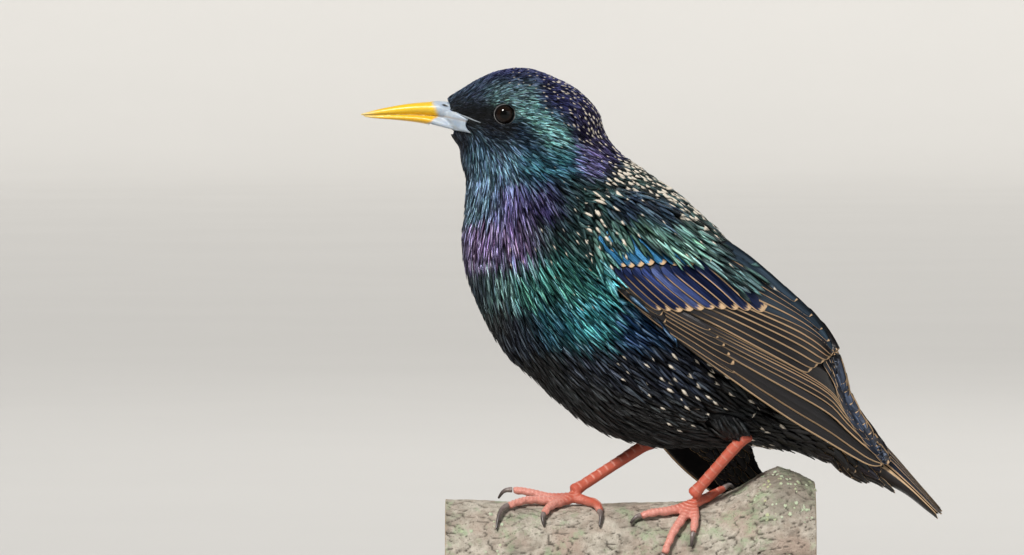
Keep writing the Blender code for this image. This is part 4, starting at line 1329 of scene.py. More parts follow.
class Row(NamedTuple):
    """A row of wing feathers from its lowest to its highest one.

    Places are (share of the wing's length, share of its breadth from the upper edge) of the feather's lower
    edge; lengths are millimetres. The tilt sinks each feather's upper side under the next one.
    """

    name: str
    count: int
    first_root: tuple
    last_root: tuple
    tips: tuple
    widths: tuple
    lift: float
    tilt: float
    tint: str
    gloss: float
    fringe: float
    spot: float
    point: float


ROWS = (
    Row("primaries", 9, (0.29, 0.985), (0.34, 0.72),
        ((0.965, 1.04), (1.0, 0.85), (0.99, 0.55), (0.955, 0.42), (0.915, 0.36), (0.875, 0.34),
         (0.84, 0.34), (0.80, 0.36), (0.765, 0.40)),
        (6.8, 4.4), 0.60, 1.0, "flight", 0.15, 0.20, 0.0, 2.4),
    Row("secondaries", 6, (0.32, 0.74), (0.38, 0.46),
        ((0.622, 0.515), (0.637, 0.43), (0.657, 0.33), (0.677, 0.23), (0.692, 0.14), (0.704, 0.07)),
        (8.0, 8.0), 1.00, 1.0, "flight", 0.20, 0.15, 0.0, 6.0),
    Row("tertials", 5, (0.40, 0.42), (0.36, 0.12),
        ((0.705, 0.00), (0.678, 0.01), (0.645, 0.01), (0.605, 0.02), (0.560, 0.02)),
        (8.0, 6.0), 1.15, 0.80, "tertial", 0.45, 0.15, 0.0, 4.5),
    Row("primary_coverts", 6, (0.22, 0.985), (0.27, 0.82),
        ((0.470, 0.960), (0.462, 0.905), (0.450, 0.855), (0.436, 0.815), (0.420, 0.785), (0.402, 0.765)),
        (4.4, 4.4), 0.85, 0.60, "flight", 0.25, 0.20, 0.0, 2.4),
    Row("alula", 3, (0.12, 1.03), (0.15, 0.86), ((0.318, 0.950), (0.305, 0.915), (0.270, 0.875)),
        (4.4, 4.4), 1.30, 0.60, "flight", 0.30, 0.16, 0.0, 2.6),
    Row("greater_coverts", 10, (0.16, 0.90), (0.34, 0.26),
        ((0.300, 0.885), (0.318, 0.835), (0.338, 0.785), (0.356, 0.725), (0.374, 0.665), (0.392, 0.605),
         (0.412, 0.545), (0.434, 0.485), (0.458, 0.420), (0.487, 0.345)),
        (6.2, 7.0), 1.45, 0.80, "covert", 0.80, 0.14, 0.070, 3.4),
    Row("median_coverts", 7, (0.09, 0.82), (0.24, 0.30),
        ((0.190, 0.800), (0.208, 0.740), (0.226, 0.670), (0.246, 0.590), (0.270, 0.510), (0.296, 0.440),
         (0.325, 0.370)),
        (5.6, 6.0), 2.0, 0.60, "bright_covert", 0.90, 0.0, 0.10, 2.6),
)


def between(rows, share):
    """A smooth curve through rows of numbers, carried on straight past both ends."""
    last = len(rows) - 1
    place = min(max(share, 0.0), 1.0) * last
    first = min(int(place), last - 1)
    part = place - first
    before, start = np.array(rows[max(first - 1, 0)], float), np.array(rows[first], float)
    end, after = np.array(rows[first + 1], float), np.array(rows[min(first + 2, last)], float)
    inside = (
        (-0.5 * part**3 + part**2 - 0.5 * part) * before
        + (1.5 * part**3 - 2.5 * part**2 + 1) * start
        + (-1.5 * part**3 + 2 * part**2 + 0.5 * part) * end
        + (0.5 * part**3 - 0.5 * part**2) * after
    )
    if share > 1:
        return inside + (share - 1) * last * (np.array(rows[-1], float) - np.array(rows[-2], float))
    return inside


def evened(grid):
    """A grid of numbers, each drawn towards its four neighbours."""
    wide = np.pad(grid, 1, mode="edge")
    return (grid * 2 + wide[:-2, 1:-1] + wide[2:, 1:-1] + wide[1:-1, :-2] + wide[1:-1, 2:]) / 6


class WingBed:
    """The outer face of one wing's bed: places by shares of its length and breadth."""

    STEPS = (72, 24)

    def __init__(self, outline, side, tree, inset):
        self.outline = outline
        self.side = side
        shares = [np.linspace(0.02, 0.985, self.STEPS[0]), np.linspace(0.03, 0.97, self.STEPS[1])]
        reach = np.zeros(self.STEPS)
        for i, along in enumerate(shares[0]):
            for j, down in enumerate(shares[1]):
                x, z = self.flat(along, down)
                hit = tree.ray_cast(Vector((x, side * 0.2, z)), Vector((0, -side, 0)))[0]
                reach[i, j] = abs(hit.y) if hit else np.nan
        self.reach = self.smoothed(reach) - inset

    @staticmethod
    def smoothed(reach):
        """Fills gaps from the row before and softens bumps."""
        for i in range(len(reach)):
            row = reach[i]
            good = np.nonzero(~np.isnan(row))[0]
            reach[i] = np.interp(np.arange(len(row)), good, row[good]) if len(good) else reach[i - 1]
        for _ in range(3):
            reach = evened(reach)
        return reach

    def flat(self, along, down):
        row = between(self.outline, along)
        return (row[0] + (row[2] - row[0]) * down) * MM, (row[1] + (row[3] - row[1]) * down) * MM

    def out(self, along, down):
        """How far the bed reaches sideways there."""
        rows, columns = self.STEPS
        i = min(max((along - 0.02) / 0.965 * (rows - 1), 0), rows - 1.001)
        j = min(max((down - 0.03) / 0.94 * (columns - 1), 0), columns - 1.001)
        a, b = int(i), int(j)
        p, q = i - a, j - b
        low = self.reach[a, b] * (1 - q) + self.reach[a, b + 1] * q
        high = self.reach[a + 1, b] * (1 - q) + self.reach[a + 1, b + 1] * q
        return low * (1 - p) + high * p

    def shares_near(self, along, down, x, z):
        """The shares of a flat point close to a known place, by Newton steps."""
        step = 0.01
        for _ in range(3):
            here = np.array(self.flat(along, down))
            by_along = (np.array(self.flat(along + step, down)) - here) / step
            by_down = (np.array(self.flat(along, down + step)) - here) / step
            change = np.linalg.solve(np.stack([by_along, by_down], 1), np.array([x, z]) - here)
            change = np.clip(change, -0.3, 0.3)
            along, down = along + change[0], down + change[1]
        return along, down


class VaneSheet:
    """Collects closed vanes given as grids of points, and makes them one mesh."""

    def __init__(self):
        self.points = []
        self.faces = []
        self.values = {"vane": [], "mark": [], "tint": [], "chance": []}
        self.places = []
        self.next_strip = 0.0

    def add(self, grid, outward, mark, tint, chance):
        """Takes a blade's upper points (rows x columns x 3) and the unit vector that points out of it."""
        count_v, count_u = grid.shape[:2]
        base = sum(len(p) for p in self.points)
        belly = 1 - np.abs(np.array(COLUMNS)) ** 2
        under = grid - outward * (BLADE_THICKNESS * MM * belly)[None, :, None]
        inner = under[:, 1:-1]
        self.points.append(np.concatenate([grid.reshape(-1, 3), inner.reshape(-1, 3)]))
        inner_base = base + count_v * count_u
        width_inner = count_u - 2

        def top(i, j):
            return base + i * count_u + j

        def low(i, j):
            return top(i, j) if j in (0, count_u - 1) else inner_base + i * width_inner + j - 1

        for i in range(count_v - 1):
            for j in range(count_u - 1):
                self.faces.append((top(i, j), top(i, j + 1), top(i + 1, j + 1), top(i + 1, j)))
                self.faces.append((low(i, j), low(i + 1, j), low(i + 1, j + 1), low(i, j + 1)))
        for i, turned in ((0, False), (count_v - 1, True)):
            rim = [top(i, j) for j in range(count_u)] + [low(i, j) for j in range(count_u - 2, 0, -1)]
            self.faces.append(tuple(rim if turned else rim[::-1]))
        u = np.concatenate([np.tile(COLUMNS, count_v), np.tile(COLUMNS[1:-1], count_v)])
        v = np.concatenate([np.repeat(blade_rows(), count_u), np.repeat(blade_rows(), width_inner)])
        count = len(u)
        self.values["vane"].append(np.stack([u, v, np.zeros(count)], 1))
        self.values["mark"].append(np.tile(mark, (count, 1)))
        self.values["tint"].append(np.tile((*tint, 1.0), (count, 1)))
        self.values["chance"].append(np.full(count, chance))
        width = np.linalg.norm(grid[count_v // 2, -1] - grid[count_v // 2, 0])
        length = np.linalg.norm(grid[-1, count_u // 2] - grid[0, count_u // 2])
        self.places.append(np.stack([self.next_strip + (u + 1) / 2 * width, v * length], 1))
        self.next_strip += width * 1.12

    def build(self, name):
        mesh = bpy.data.meshes.new(name)
        points = np.concatenate(self.points)
        mesh.from_pydata(points.tolist(), [], self.faces)
        kinds = {"vane": "FLOAT_VECTOR", "mark": "FLOAT_VECTOR", "tint": "FLOAT_COLOR", "chance": "FLOAT"}
        for key, kind in kinds.items():
            store(mesh, key, kind, np.concatenate(self.values[key]))
        places = fit_to_map(np.concatenate(self.places), 0.01)
        corner = np.empty(len(mesh.loops), np.int32)
        mesh.loops.foreach_get("vertex_index", corner)
        bake = mesh.uv_layers.new(name="OFBake")
        bake.uv.foreach_set("vector", places[corner].astype(np.float32).ravel())
        shape = bmesh.new()
        shape.from_mesh(mesh)
        bmesh.ops.recalc_face_normals(shape, faces=shape.faces)
        shape.to_mesh(mesh)
        shape.free()
        return object_of(name, mesh)


# A blade's grid: shares across it (the shaft at 0) and rows along it; the outer web's share of its width.
COLUMNS = (-1.0, -0.72, -0.36, 0.0, 0.3, 0.65, 1.0)
OUTER_WEB = 0.30
BLADE_ROWS = 26
BLADE_THICKNESS = 0.22


def blade_outline(v, point):
    """Width of a blade along its length; a high point number gives a blunter tip."""
    start = 0.35 + 0.65 * min(v / 0.12, 1.0)
    return max(start * (1 - max(v, 0.0) ** (point * 4)) ** 0.5, 0.03)


def blade_rows():
    """Shares along a blade, closer together towards its tip."""
    return [1 - (1 - i / (BLADE_ROWS - 1)) ** 1.35 for i in range(BLADE_ROWS)]


def wing_feather(sheet, bed, row, index, random):
    """One feather of a row, along its lower edge and tilted under the next."""
    share = index / max(row.count - 1, 1)
    root = np.array(row.first_root) * (1 - share) + np.array(row.last_root) * share
    tip = np.array(row.tips[index])
    width = (row.widths[0] * (1 - share) + row.widths[1] * share) * MM
    sag = 0.012 * (random.rand() - 0.5)
    grid = []
    for v in blade_rows():
        along, down = root + (tip - root) * v
        down += sag * math.sin(math.pi * v)
        x, z = bed.flat(along, down)
        ahead = np.array(bed.flat(along + (tip[0] - root[0]) * 0.01, down + (tip[1] - root[1]) * 0.01))
        tangent = ahead - (x, z)
        tangent /= np.linalg.norm(tangent)
        upward = np.array([-tangent[1], tangent[0]])
        if upward[1] < 0:
            upward = -upward
        reach = blade_outline(v, row.point)
        breadth = np.linalg.norm(np.array(bed.flat(along, 1.0)) - np.array(bed.flat(along, 0.0)))
        room = max(down + 0.03, 0.02) * breadth
        fit = min(room / (width * (OUTER_WEB + (1 - OUTER_WEB) * reach)), 1.0)
        line = []
        for u in COLUMNS:
            web = OUTER_WEB if u < 0 else 1 - OUTER_WEB
            offset = width * (OUTER_WEB + u * web * reach) * fit
            fx, fz = (x, z) + upward * offset
            near_along, near_down = bed.shares_near(along, down, fx, fz)
            near_down = min(max(near_down, -0.08), 1.06)
            height = row.lift + row.tilt * (0.5 - offset / (width * fit))
            height += 0.05 * (1 - abs(u)) + (0.07 if u == 0 else 0.0)
            y = bed.side * (bed.out(near_along, near_down) + height * MM)
            line.append((fx, y, fz))
        grid.append(line)
    outward = np.array([0.0, float(bed.side), 0.0])
    tints = bpy.context.scene.starling_tints
    tint = np.array(getattr(tints, row.tint)) * (0.65 + 0.55 * random.rand())
    mark = (row.spot * (0.8 + 0.4 * random.rand()), row.fringe * (0.75 + 0.5 * random.rand()), row.gloss)
    sheet.add(np.array(grid), outward, mark, tint, random.rand())


# The rump's feathers beside the near wing's quills, from the tertials' tips to the wing's tip: share of the
# wing's length, share of its breadth that they cover there, and feathers side by side.
RUMP_BAND = (
    (0.680, 0.30, 4), (0.715, 0.30, 3), (0.745, 0.36, 4), (0.775, 0.38, 3), (0.805, 0.42, 4),
    (0.835, 0.46, 3), (0.865, 0.50, 3), (0.895, 0.56, 3), (0.925, 0.62, 2), (0.955, 0.66, 2),
)


def lay_rump_band(sheet, bed, random):
    """Short shingled feathers, each row under the one before it; the first row lies under the tertials."""
    for number, (along, share, count) in enumerate(RUMP_BAND):
        lift = 1.29 - 0.035 * number if number else 0.55
        for i in range(count):
            down = share * (i + 0.6) / count + 0.02 * (number % 2)
            root = (along - 0.02, down)
            tips = ((min(along + 0.055, 1.0), down + 0.04),)
            row = Row("rump", 1, root, root, tips, (3.6, 3.6), lift, 0.35, "slate", 0.45, 0.13, 0.0, 1.5)
            wing_feather(sheet, bed, row, 0, random)


def make_wings():
    """The rows of flight feathers and coverts of both wings."""
    sizes = bpy.context.scene.starling_plumage
    buff = bpy.context.scene.starling_tints.buff
    material = feather_material(
        "wing_feathers", 0.00005, buff, barbs=110.0, streaks=0.6, dark_edge=0.25, root_length=0.08,
        outer_fringe_only=1.0, tip_fringe=0.08, darkest=0.7, brightest=1.2, glints=0.12,
    )
    for name, outline in (("left", NEAR_WING), ("right", FAR_WING)):
        tree = tree_of(joined_guide("wing_guide_" + name, ("wing_" + name,)))
        bed = WingBed(outline, SIDES[name], tree, sizes.wing_inset)
        for row in ROWS:
            random = np.random.RandomState(sizes.seed + len(row.name))
            sheet = VaneSheet()
            for index in range(row.count):
                wing_feather(sheet, bed, row, index, random)
            finish_piece(sheet.build(f"wing_{name}_{row.name}"), material)
        if name == "left":
            sheet = VaneSheet()
            lay_rump_band(sheet, bed, np.random.RandomState(sizes.seed + 5))
            broad = bpy.data.materials["covering_feathers"]
            finish_piece(sheet.build("wing_left_rump_band"), broad)


# Tail: top x, top z, under x, under z, half width, from its root to its tip.
TAIL_OUTLINE = (
    (61.0, 99.4, 52.0, 84.0, 6.0),
    (65.8, 93.2, 58.2, 78.8, 8.2),
    (70.6, 87.6, 63.8, 74.8, 9.2),
    (77.0, 80.6, 72.0, 73.2, 10.2),
    (83.2, 73.4, 79.8, 69.6, 11.4),
    (88.6, 67.2, 86.4, 64.6, 12.2),
    (91.4, 63.9, 89.8, 62.0, 11.6),
)
TAIL_PAIRS = 6
TAIL_FEATHER_WIDTH = 9.0


def tail_place(along, across, face):
    """A point of the tail's upper (1) or under (-1) face; across is in shares of its half width."""
    row = between(TAIL_OUTLINE, along)
    top, low = np.array([row[0], 0.0, row[1]]), np.array([row[2], 0.0, row[3]])
    centre = top * 0.64 + low * 0.36
    round_off = math.sqrt(max(1 - min(abs(across), 1.0) ** 2, 0.0)) ** 0.92
    target = top if face > 0 else low
    place = centre + (target - centre) * round_off
    place[1] = across * row[4]
    normal = top - low
    return place * MM, normal / np.linalg.norm(normal) * face, row[4]


def make_tail():
    """Twelve tail feathers, the middle pair uppermost, seen from above and from below."""
    sizes = bpy.context.scene.starling_plumage
    tints = bpy.context.scene.starling_tints
    material = bpy.data.materials["wing_feathers"]
    random = np.random.RandomState(sizes.seed + 3)
    for face, name in ((1, "tail_upper"), (-1, "tail_under")):
        sheet = VaneSheet()
        for pair in range(TAIL_PAIRS):
            order = TAIL_PAIRS - 1 - pair if face > 0 else pair
            for side in (-1, 1):
                edge = 0.24 + 0.76 * pair / (TAIL_PAIRS - 1)
                end = 0.985 + 0.02 * math.sin(pair * 1.9) - (0.03 if pair == 0 else 0.0)
                grid = []
                for v in blade_rows():
                    along = 0.25 + (end - 0.25) * v
                    reach = blade_outline(v, 3.6)
                    line = []
                    for u in COLUMNS:
                        half = tail_place(along, 0.0, face)[2]
                        web = OUTER_WEB if u < 0 else 1 - OUTER_WEB
                        inward = TAIL_FEATHER_WIDTH * (OUTER_WEB + u * web * reach) / half
                        across = side * (edge * 1.03 - inward)
                        place, normal, _ = tail_place(along, across, face)
                        height = -0.35 + 0.13 * order - 0.175 * u
                        height += 0.08 * (1 - abs(u)) + (0.08 if u == 0 else 0.0)
                        line.append(place + normal * height * MM)
                    grid.append(line)
                outward = tail_place(0.6, 0.0, face)[1]
                mark = (0.0, 0.13, 0.25 if face > 0 else 0.1)
                tint = np.array(tints.ink if face > 0 else tints.sooty) * (0.8 + 0.4 * random.rand())
                sheet.add(np.array(grid), outward, mark, tint, random.rand())
        finish_piece(sheet.build(name), material)


def soften(made, levels):
    """Rounds a copied shape by subdivision."""
    smooth = made.modifiers.new("smooth", "SUBSURF")
    smooth.levels = levels
    smooth.render_levels = levels
    return settle(made)


BILL_NODES = ("bill_upper", "bill_lower")
NOSTRIL = (-59.0, 187.0)
# The bill's middle line (x, z), and its share of the solid's thickness at distances from its tip.
BILL_LINE = ((-84.5, 184.4), (-78.5, 184.7), (-72.5, 184.9), (-66.0, 184.8), (-58.0, 184.3))
BILL_SLIM = ((0.0, 0.28), (1.0, 0.46), (3.0, 0.62), (6.0, 0.73), (12.0, 0.85), (18.0, 0.95), (22.0, 1.0))
# The line to which the base's underside is drawn up: x, z and slope.
BILL_UNDERSIDE = (-63.8, 181.6, -0.216)

# The bare wedge behind the bill: upper x, upper z, lower x, lower z, from the bill backwards. Its back edge
# is hollow by the bow, and the mouth's line runs through it. Over the skin it is widened to the corner.
WEDGE = (
    (-62.6, 186.2, -63.0, 181.2),
    (-59.0, 185.8, -59.6, 180.3),
    (-55.8, 185.1, -56.2, 179.5),
    (-53.5, 184.0, -53.2, 179.0),
    (-51.9, 182.9, -50.9, 178.5),
)
WEDGE_BOW = 1.3
WEDGE_CORNER = (-52.6, 180.8)
MOUTH = ((-84.5, 184.0), (-78.0, 184.3), (-70.0, 184.2), (-63.5, 183.9), (-58.0, 183.5), (-52.2, 182.2))
# How much the two halves are swollen before they are fused, and then pulled in again.
BILL_SWELL = 0.42
BILL_SHRINK = 0.24


def on_wedge(points, margin=0.0):
    """True for points on the bare wedge in the side view, by counting crossings of its edge."""
    corners = [(row[0], row[1] + margin) for row in WEDGE] + [(WEDGE_CORNER[0] + margin, WEDGE_CORNER[1])]
    corners += [(row[2], row[3] - margin) for row in reversed(WEDGE)]
    x, z = points[:, 0] / MM, points[:, 2] / MM
    inside = np.zeros(len(points), bool)
    for (x1, z1), (x2, z2) in zip(corners, corners[1:] + corners[:1]):
        if z1 != z2:
            crossing = (z1 > z) != (z2 > z)
            inside ^= crossing & (x < (x2 - x1) * (z - z1) / (z2 - z1) + x1)
    return inside


def bill_material():
    """Yellow horn with a pale tip and a blue grey base, with faint growth lines."""
    bare = bpy.context.scene.starling_bare
    material, nodes, shader = new_material("bill")
    place = nodes.place()
    x, _, z = nodes.split(place)
    cloud = nodes.noise(place, 260.0, 3.0)
    grain = nodes.noise(nodes.mapped(place, Scale=(60.0, 700.0, 900.0)), 1.0, 3.0)
    # The yellow ends at a wavy line that runs backwards above the mouth and faster below it.
    rise = z - 0.1837
    slant = nodes.math("MAXIMUM", rise, 0.0) * 0.4 + nodes.math("MINIMUM", rise, 0.0) * -1.4
    base = nodes.step(nodes.sum(cloud - 0.5, 0.0022, x) + slant, -0.0620, -0.0602)
    tip = nodes.step(x, -0.0785, -0.0845)
    low = nodes.step(z, 0.1850, 0.1825)
    yellow = nodes.mix(low * 0.55, bare.bill, (0.84, 0.42, 0.012))
    yellow = nodes.mix(tip * 0.75, yellow, bare.bill_tip)
    grey = nodes.mix(nodes.range(cloud, 0.35, 0.65, 0.0, 0.7), bare.bill_base, (0.58, 0.64, 0.70))
    colour = nodes.mix(base, yellow, grey)
    colour = nodes.mix(nodes.range(grain, 0.35, 0.75, 0.0, 0.22), colour, (0.30, 0.22, 0.12))
    # Painted shade: the nostrils' dents are coloured near black.
    colour = nodes.mix(nodes.attribute("pit", "Fac"), colour, (0.012, 0.010, 0.012))
    # Painted shade: the mouth's line is coloured dark brown.
    colour = nodes.mix(nodes.attribute("slit", "Fac"), colour, (0.26, 0.13, 0.03))
    nodes.give(shader, "Base Color", colour)
    nodes.give(shader, "Roughness", nodes.range(grain, 0.3, 0.7, 0.30, 0.44))
    nodes.give(shader, "Subsurface Weight", 0.12)
    shader.inputs["Subsurface Radius"].default_value = (1.0, 0.6, 0.25)
    shader.inputs["Subsurface Scale"].default_value = 0.0009
    bump(nodes, shader, grain, 0.00005)
    return material


def make_bill():
    """The closed bill in one piece, with the mouth's line and the nostrils pressed into it."""
    material = bill_material()
    halves = [soften(joined_copy("half", (node,)), 2) for node in BILL_NODES]
    for half in halves:
        place_vertices(half.data, coordinates(half.data) + vertex_normals(half.data) * BILL_SWELL * MM)
    bill, lower = halves
    bill.name = "bill"
    with bpy.context.temp_override(active_object=bill, selected_editable_objects=[bill, lower]):
        bpy.ops.object.join()
    fuse(bill, 0.2 * MM, 9)
    points, normals = coordinates(bill.data), vertex_normals(bill.data)
    points -= normals * BILL_SHRINK * MM
    back = (points[:, 0] - points[:, 0].min()) / MM
    line, slim, mouth = np.array(BILL_LINE), np.array(BILL_SLIM), np.array(MOUTH)
    middle = np.interp(points[:, 0] / MM, line[:, 0], line[:, 1]) * MM
    thinner = np.interp(back, slim[:, 0], slim[:, 1])
    points[:, 1] *= thinner
    points[:, 2] = middle + (points[:, 2] - middle) * thinner
    x, z, slope = BILL_UNDERSIDE
    floor = (z + slope * np.maximum(points[:, 0] / MM - x, 0)) * MM
    below = (points[:, 2] < floor) & (points[:, 0] > x * MM)
    points[below, 2] = floor[below] + (points[below, 2] - floor[below]) * 0.3
    line = np.interp(points[:, 0] / MM, mouth[:, 0], mouth[:, 1])
    slit = np.exp(-(((points[:, 2] / MM - line) / 0.17) ** 2)) * (np.abs(points[:, 1]) > 0.25 * MM)
    x, z = points[:, 0] / MM - NOSTRIL[0], points[:, 2] / MM - NOSTRIL[1]
    along, across = x * 0.97 - z * 0.24, x * 0.24 + z * 0.97
    dent = np.exp(-((along / 1.25) ** 2) - (across / 0.42) ** 2) * (np.abs(points[:, 1]) > 0.6 * MM)
    inward = np.stack([np.zeros(len(points)), -np.sign(points[:, 1]), np.zeros(len(points))], 1)
    moved = points + inward * dent[:, None] * 0.55 * MM - normals * slit[:, None] * 0.10 * MM
    place_vertices(bill.data, moved)
    # Marks the nostrils' dents for their painted shade.
    store(bill.data, "pit", "FLOAT", smooth_step(0.35, 0.8, dent))
    # Marks the mouth's line for its painted shade.
    store(bill.data, "slit", "FLOAT", slit * 0.7)
    finish_piece(bill, material, BILL_NODES)
    make_wedges(material)
    make_gape()


def make_wedges(material):
    """The bare blue grey wedge on each side, which carries the bill's surface back over the cheek."""
    # Heights in millimetres at which the wedge stands over the skin and over the bill.
    heights = {"form": 0.50, "bill": 0.06}
    under = [(tree_of(bpy.data.objects[name]), height) for name, height in heights.items()]
    steps, rows = 26, 18
    mouth = np.array(MOUTH)
    for name, side in SIDES.items():
        flat = np.zeros((steps + 1, rows + 1, 2))
        reach = np.zeros((steps + 1, rows + 1))
        for i in range(steps + 1):
            for j in range(rows + 1):
                along, down = i / steps, j / rows
                row = between(WEDGE, along)
                x = row[0] + (row[2] - row[0]) * down - WEDGE_BOW * math.sin(math.pi * down) * along**4
                flat[i, j] = x, row[1] + (row[3] - row[1]) * down
                start = Vector((x * MM, side * 0.05, flat[i, j, 1] * MM))
                for tree, height in under:
                    hit = tree.ray_cast(start, Vector((0, -side, 0)))[0]
                    if hit:
                        reach[i, j] = max(reach[i, j], abs(hit.y) / MM + height)
        found = reach
        for _ in range(5):
            reach = np.maximum(evened(reach), found - 0.08)
        line = np.interp(flat[:, :, 0], mouth[:, 0], mouth[:, 1])
        slit = np.exp(-(((flat[:, :, 1] - line) / 0.22) ** 2))
        share = np.linspace(0, 1, steps + 1)[:, None] + np.zeros(rows + 1)
        edge = np.minimum(np.linspace(0, 1, rows + 1), np.linspace(1, 0, rows + 1))[None] * 5
        inner = np.minimum(np.minimum(edge, (1 - share) * 5), share * 5)
        rise = smooth_step(0.0, 0.7, inner) * 0.6 - 0.6 - slit * 0.14
        outer = np.concatenate([flat[:, :, :1], (reach + rise)[:, :, None] * side, flat[:, :, 1:]], 2)
        back = outer.copy()
        back[:, :, 1] = (reach - 1.4) * side
        count = (steps + 1) * (rows + 1)
        points = np.concatenate([outer.reshape(-1, 3), back.reshape(-1, 3)]) * MM
        index = np.arange(count).reshape(steps + 1, rows + 1)
        faces = []
        for i in range(steps):
            for j in range(rows):
                quad = [index[i, j], index[i + 1, j], index[i + 1, j + 1], index[i, j + 1]]
                faces.append(quad)
                faces.append([corner + count for corner in reversed(quad)])
        rim = [*index[0, :], *index[1:, -1], *index[-1, -2::-1], *index[-2:0:-1, 0]]
        for first, second in zip(rim, rim[1:] + rim[:1]):
            faces.append([first, second, second + count, first + count])
        shape = bmesh.new()
        corners = [shape.verts.new(point) for point in points]
        for face in faces:
            shape.faces.new([corners[corner] for corner in face])
        mesh = mesh_of("wedge", shape)
        # The mouth's line across the wedge carries painted shade too.
        store(mesh, "slit", "FLOAT", np.concatenate([slit.ravel(), np.zeros(count)]) * 0.5)
        finish_piece(object_of("wedge_" + name, mesh), material)


GAPE = ((-54.4, 184.2), (-52.6, 183.5), (-50.3, 182.6), (-48.0, 181.8))


def make_gape():
    """The pale fold of skin that runs back from each corner of the bill."""
    bare = bpy.context.scene.starling_bare
    tree = tree_of(bpy.data.objects["form"])
    material, nodes, shader = new_material("gape_skin")
    place = nodes.place()
    cloud = nodes.noise(place, 1200.0, 3.0)
    shade = nodes.mix(nodes.range(cloud, 0.3, 0.7, 0.0, 0.8), bare.gape, (0.20, 0.23, 0.26))
    nodes.give(shader, "Base Color", shade)
    nodes.give(shader, "Roughness", nodes.range(cloud, 0.3, 0.7, 0.38, 0.55))
    bump(nodes, shader, cloud, 0.00006)
    for name, side in SIDES.items():
        rings = []
        steps, around = 26, 10
        for i in range(steps + 1):
            share = i / steps
            x, z = between(GAPE, share)
            hit = tree.ray_cast(Vector((x * MM, side * 0.05, z * MM)), Vector((0, -side, 0)))[0]
            out = abs(hit.y) if hit else 5.0 * MM
            radius = 0.30 * math.sin(math.pi * (0.04 + 0.94 * share**0.7)) ** 0.7 * MM
            ring = []
            for j in range(around):
                turn = 2 * math.pi * j / around
                y = side * (out + 0.24 * MM + radius * math.cos(turn))
                ring.append((x * MM, y, z * MM + radius * math.sin(turn)))
            rings.append(ring)
        finish_piece(object_of("gape_" + name, tube_of("gape", rings)), material)


def tube_of(name, rings):
    """A closed tube through rings of points."""
    shape = bmesh.new()
    rows = [[shape.verts.new(point) for point in ring] for ring in rings]
    for row, following in zip(rows, rows[1:]):
        for i, corner in enumerate(row):
            j = (i + 1) % len(row)
            shape.faces.new((corner, row[j], following[j], following[i]))
    shape.faces.new(tuple(reversed(rows[0])))
    shape.faces.new(rows[-1])
    return mesh_of(name, shape)


def make_eyes():
    """Wet dark eyeballs with a brown iris round a black pupil."""
    bare = bpy.context.scene.starling_bare
    material, nodes, shader = new_material("eye")
    x, _, z = nodes.split(nodes.place())
    x = x - EYE_CENTRE[0] * MM
    z = z - EYE_CENTRE[2] * MM
    radius = nodes.math("SQRT", x**2.0 + z**2.0)
    rays = nodes.noise(nodes.join(nodes.math("ARCTAN2", z, x) * 9.0, radius * 700.0), 1.0)
    iris = nodes.mix(rays, bare.eye, (0.014, 0.007, 0.004))
    pupil = nodes.step(radius, 0.00125, 0.00145)
    rim = nodes.step(radius, 0.0021, 0.0027)
    colour = nodes.mix(pupil, (0.002, 0.002, 0.002), iris)
    nodes.give(shader, "Base Color", nodes.mix(rim, colour, (0.004, 0.003, 0.003)))
    nodes.give(shader, "Roughness", nodes.range(rays, 0.0, 1.0, 0.03, 0.07))
    shader.inputs["Specular IOR Level"].default_value = 0.22
    for name, side in SIDES.items():
        shape = bmesh.new()
        bmesh.ops.create_uvsphere(shape, u_segments=64, v_segments=40, radius=EYE_RADIUS * MM)
        centre = Vector((EYE_CENTRE[0], side * EYE_CENTRE[1], EYE_CENTRE[2])) * MM
        quarter = Matrix.Rotation(math.pi / 2, 4, "X")
        bmesh.ops.transform(shape, matrix=Matrix.Translation(centre) @ quarter, verts=shape.verts)
        eyeball = object_of("eyeball_" + name, mesh_of("eye", shape))
        finish_piece(eyeball, material, ("eye_" + name,))


# Ankle and foot of each leg: x, y, z in millimetres.
LEGS = {
    "left": ((32.2, -13.2, 88.4), (15.8, -9.4, 69.3)),
    "right": ((4.0, 9.6, 85.0), (-20.4, -1.6, 69.9)),
}
SCUTE_LENGTH = 2.6
TOE_SCUTE_LENGTH = 1.25


def leg_material():
    """Coral skin in plates, with pink edges between them and fine creases."""
    bare = bpy.context.scene.starling_bare
    material, nodes, shader = new_material("leg_skin")
    place = nodes.place()
    cloud = nodes.noise(place, 320.0, 4.0)
    fine = nodes.noise(place, 2600.0, 3.0)
    values = {"Vector": place, "Scale": 1500.0}
    cells = nodes.add("ShaderNodeTexVoronoi", values, feature="DISTANCE_TO_EDGE")
    groove = 1.0 - nodes.step(cells.outputs["Distance"], 0.0, 0.18)
    seam = nodes.attribute("seam", "Fac")
    toe = nodes.attribute("toe", "Fac")
    red = nodes.mix(nodes.range(cloud, 0.35, 0.65, 0.0, 0.75), bare.leg, (0.52, 0.075, 0.035))
    red = nodes.mix(toe * 0.62, red, (0.80, 0.42, 0.36))
    colour = nodes.mix(seam * nodes.range(cloud, 0.3, 0.7, 0.35, 1.0), red, bare.leg_edge)
    # Painted shade: the fine creases between the cells are coloured a darker red.
    colour = nodes.mix(groove * 0.25, colour, (0.36, 0.10, 0.07))
    nodes.give(shader, "Base Color", colour)
    nodes.give(shader, "Roughness", nodes.range(fine, 0.3, 0.7, 0.36, 0.56))
    nodes.give(shader, "Subsurface Weight", 0.15)
    shader.inputs["Subsurface Radius"].default_value = (1.0, 0.35, 0.25)
    shader.inputs["Subsurface Scale"].default_value = 0.0008
    bump(nodes, shader, nodes.sum(fine, 0.35, groove * -0.5), 0.00006)
    return material


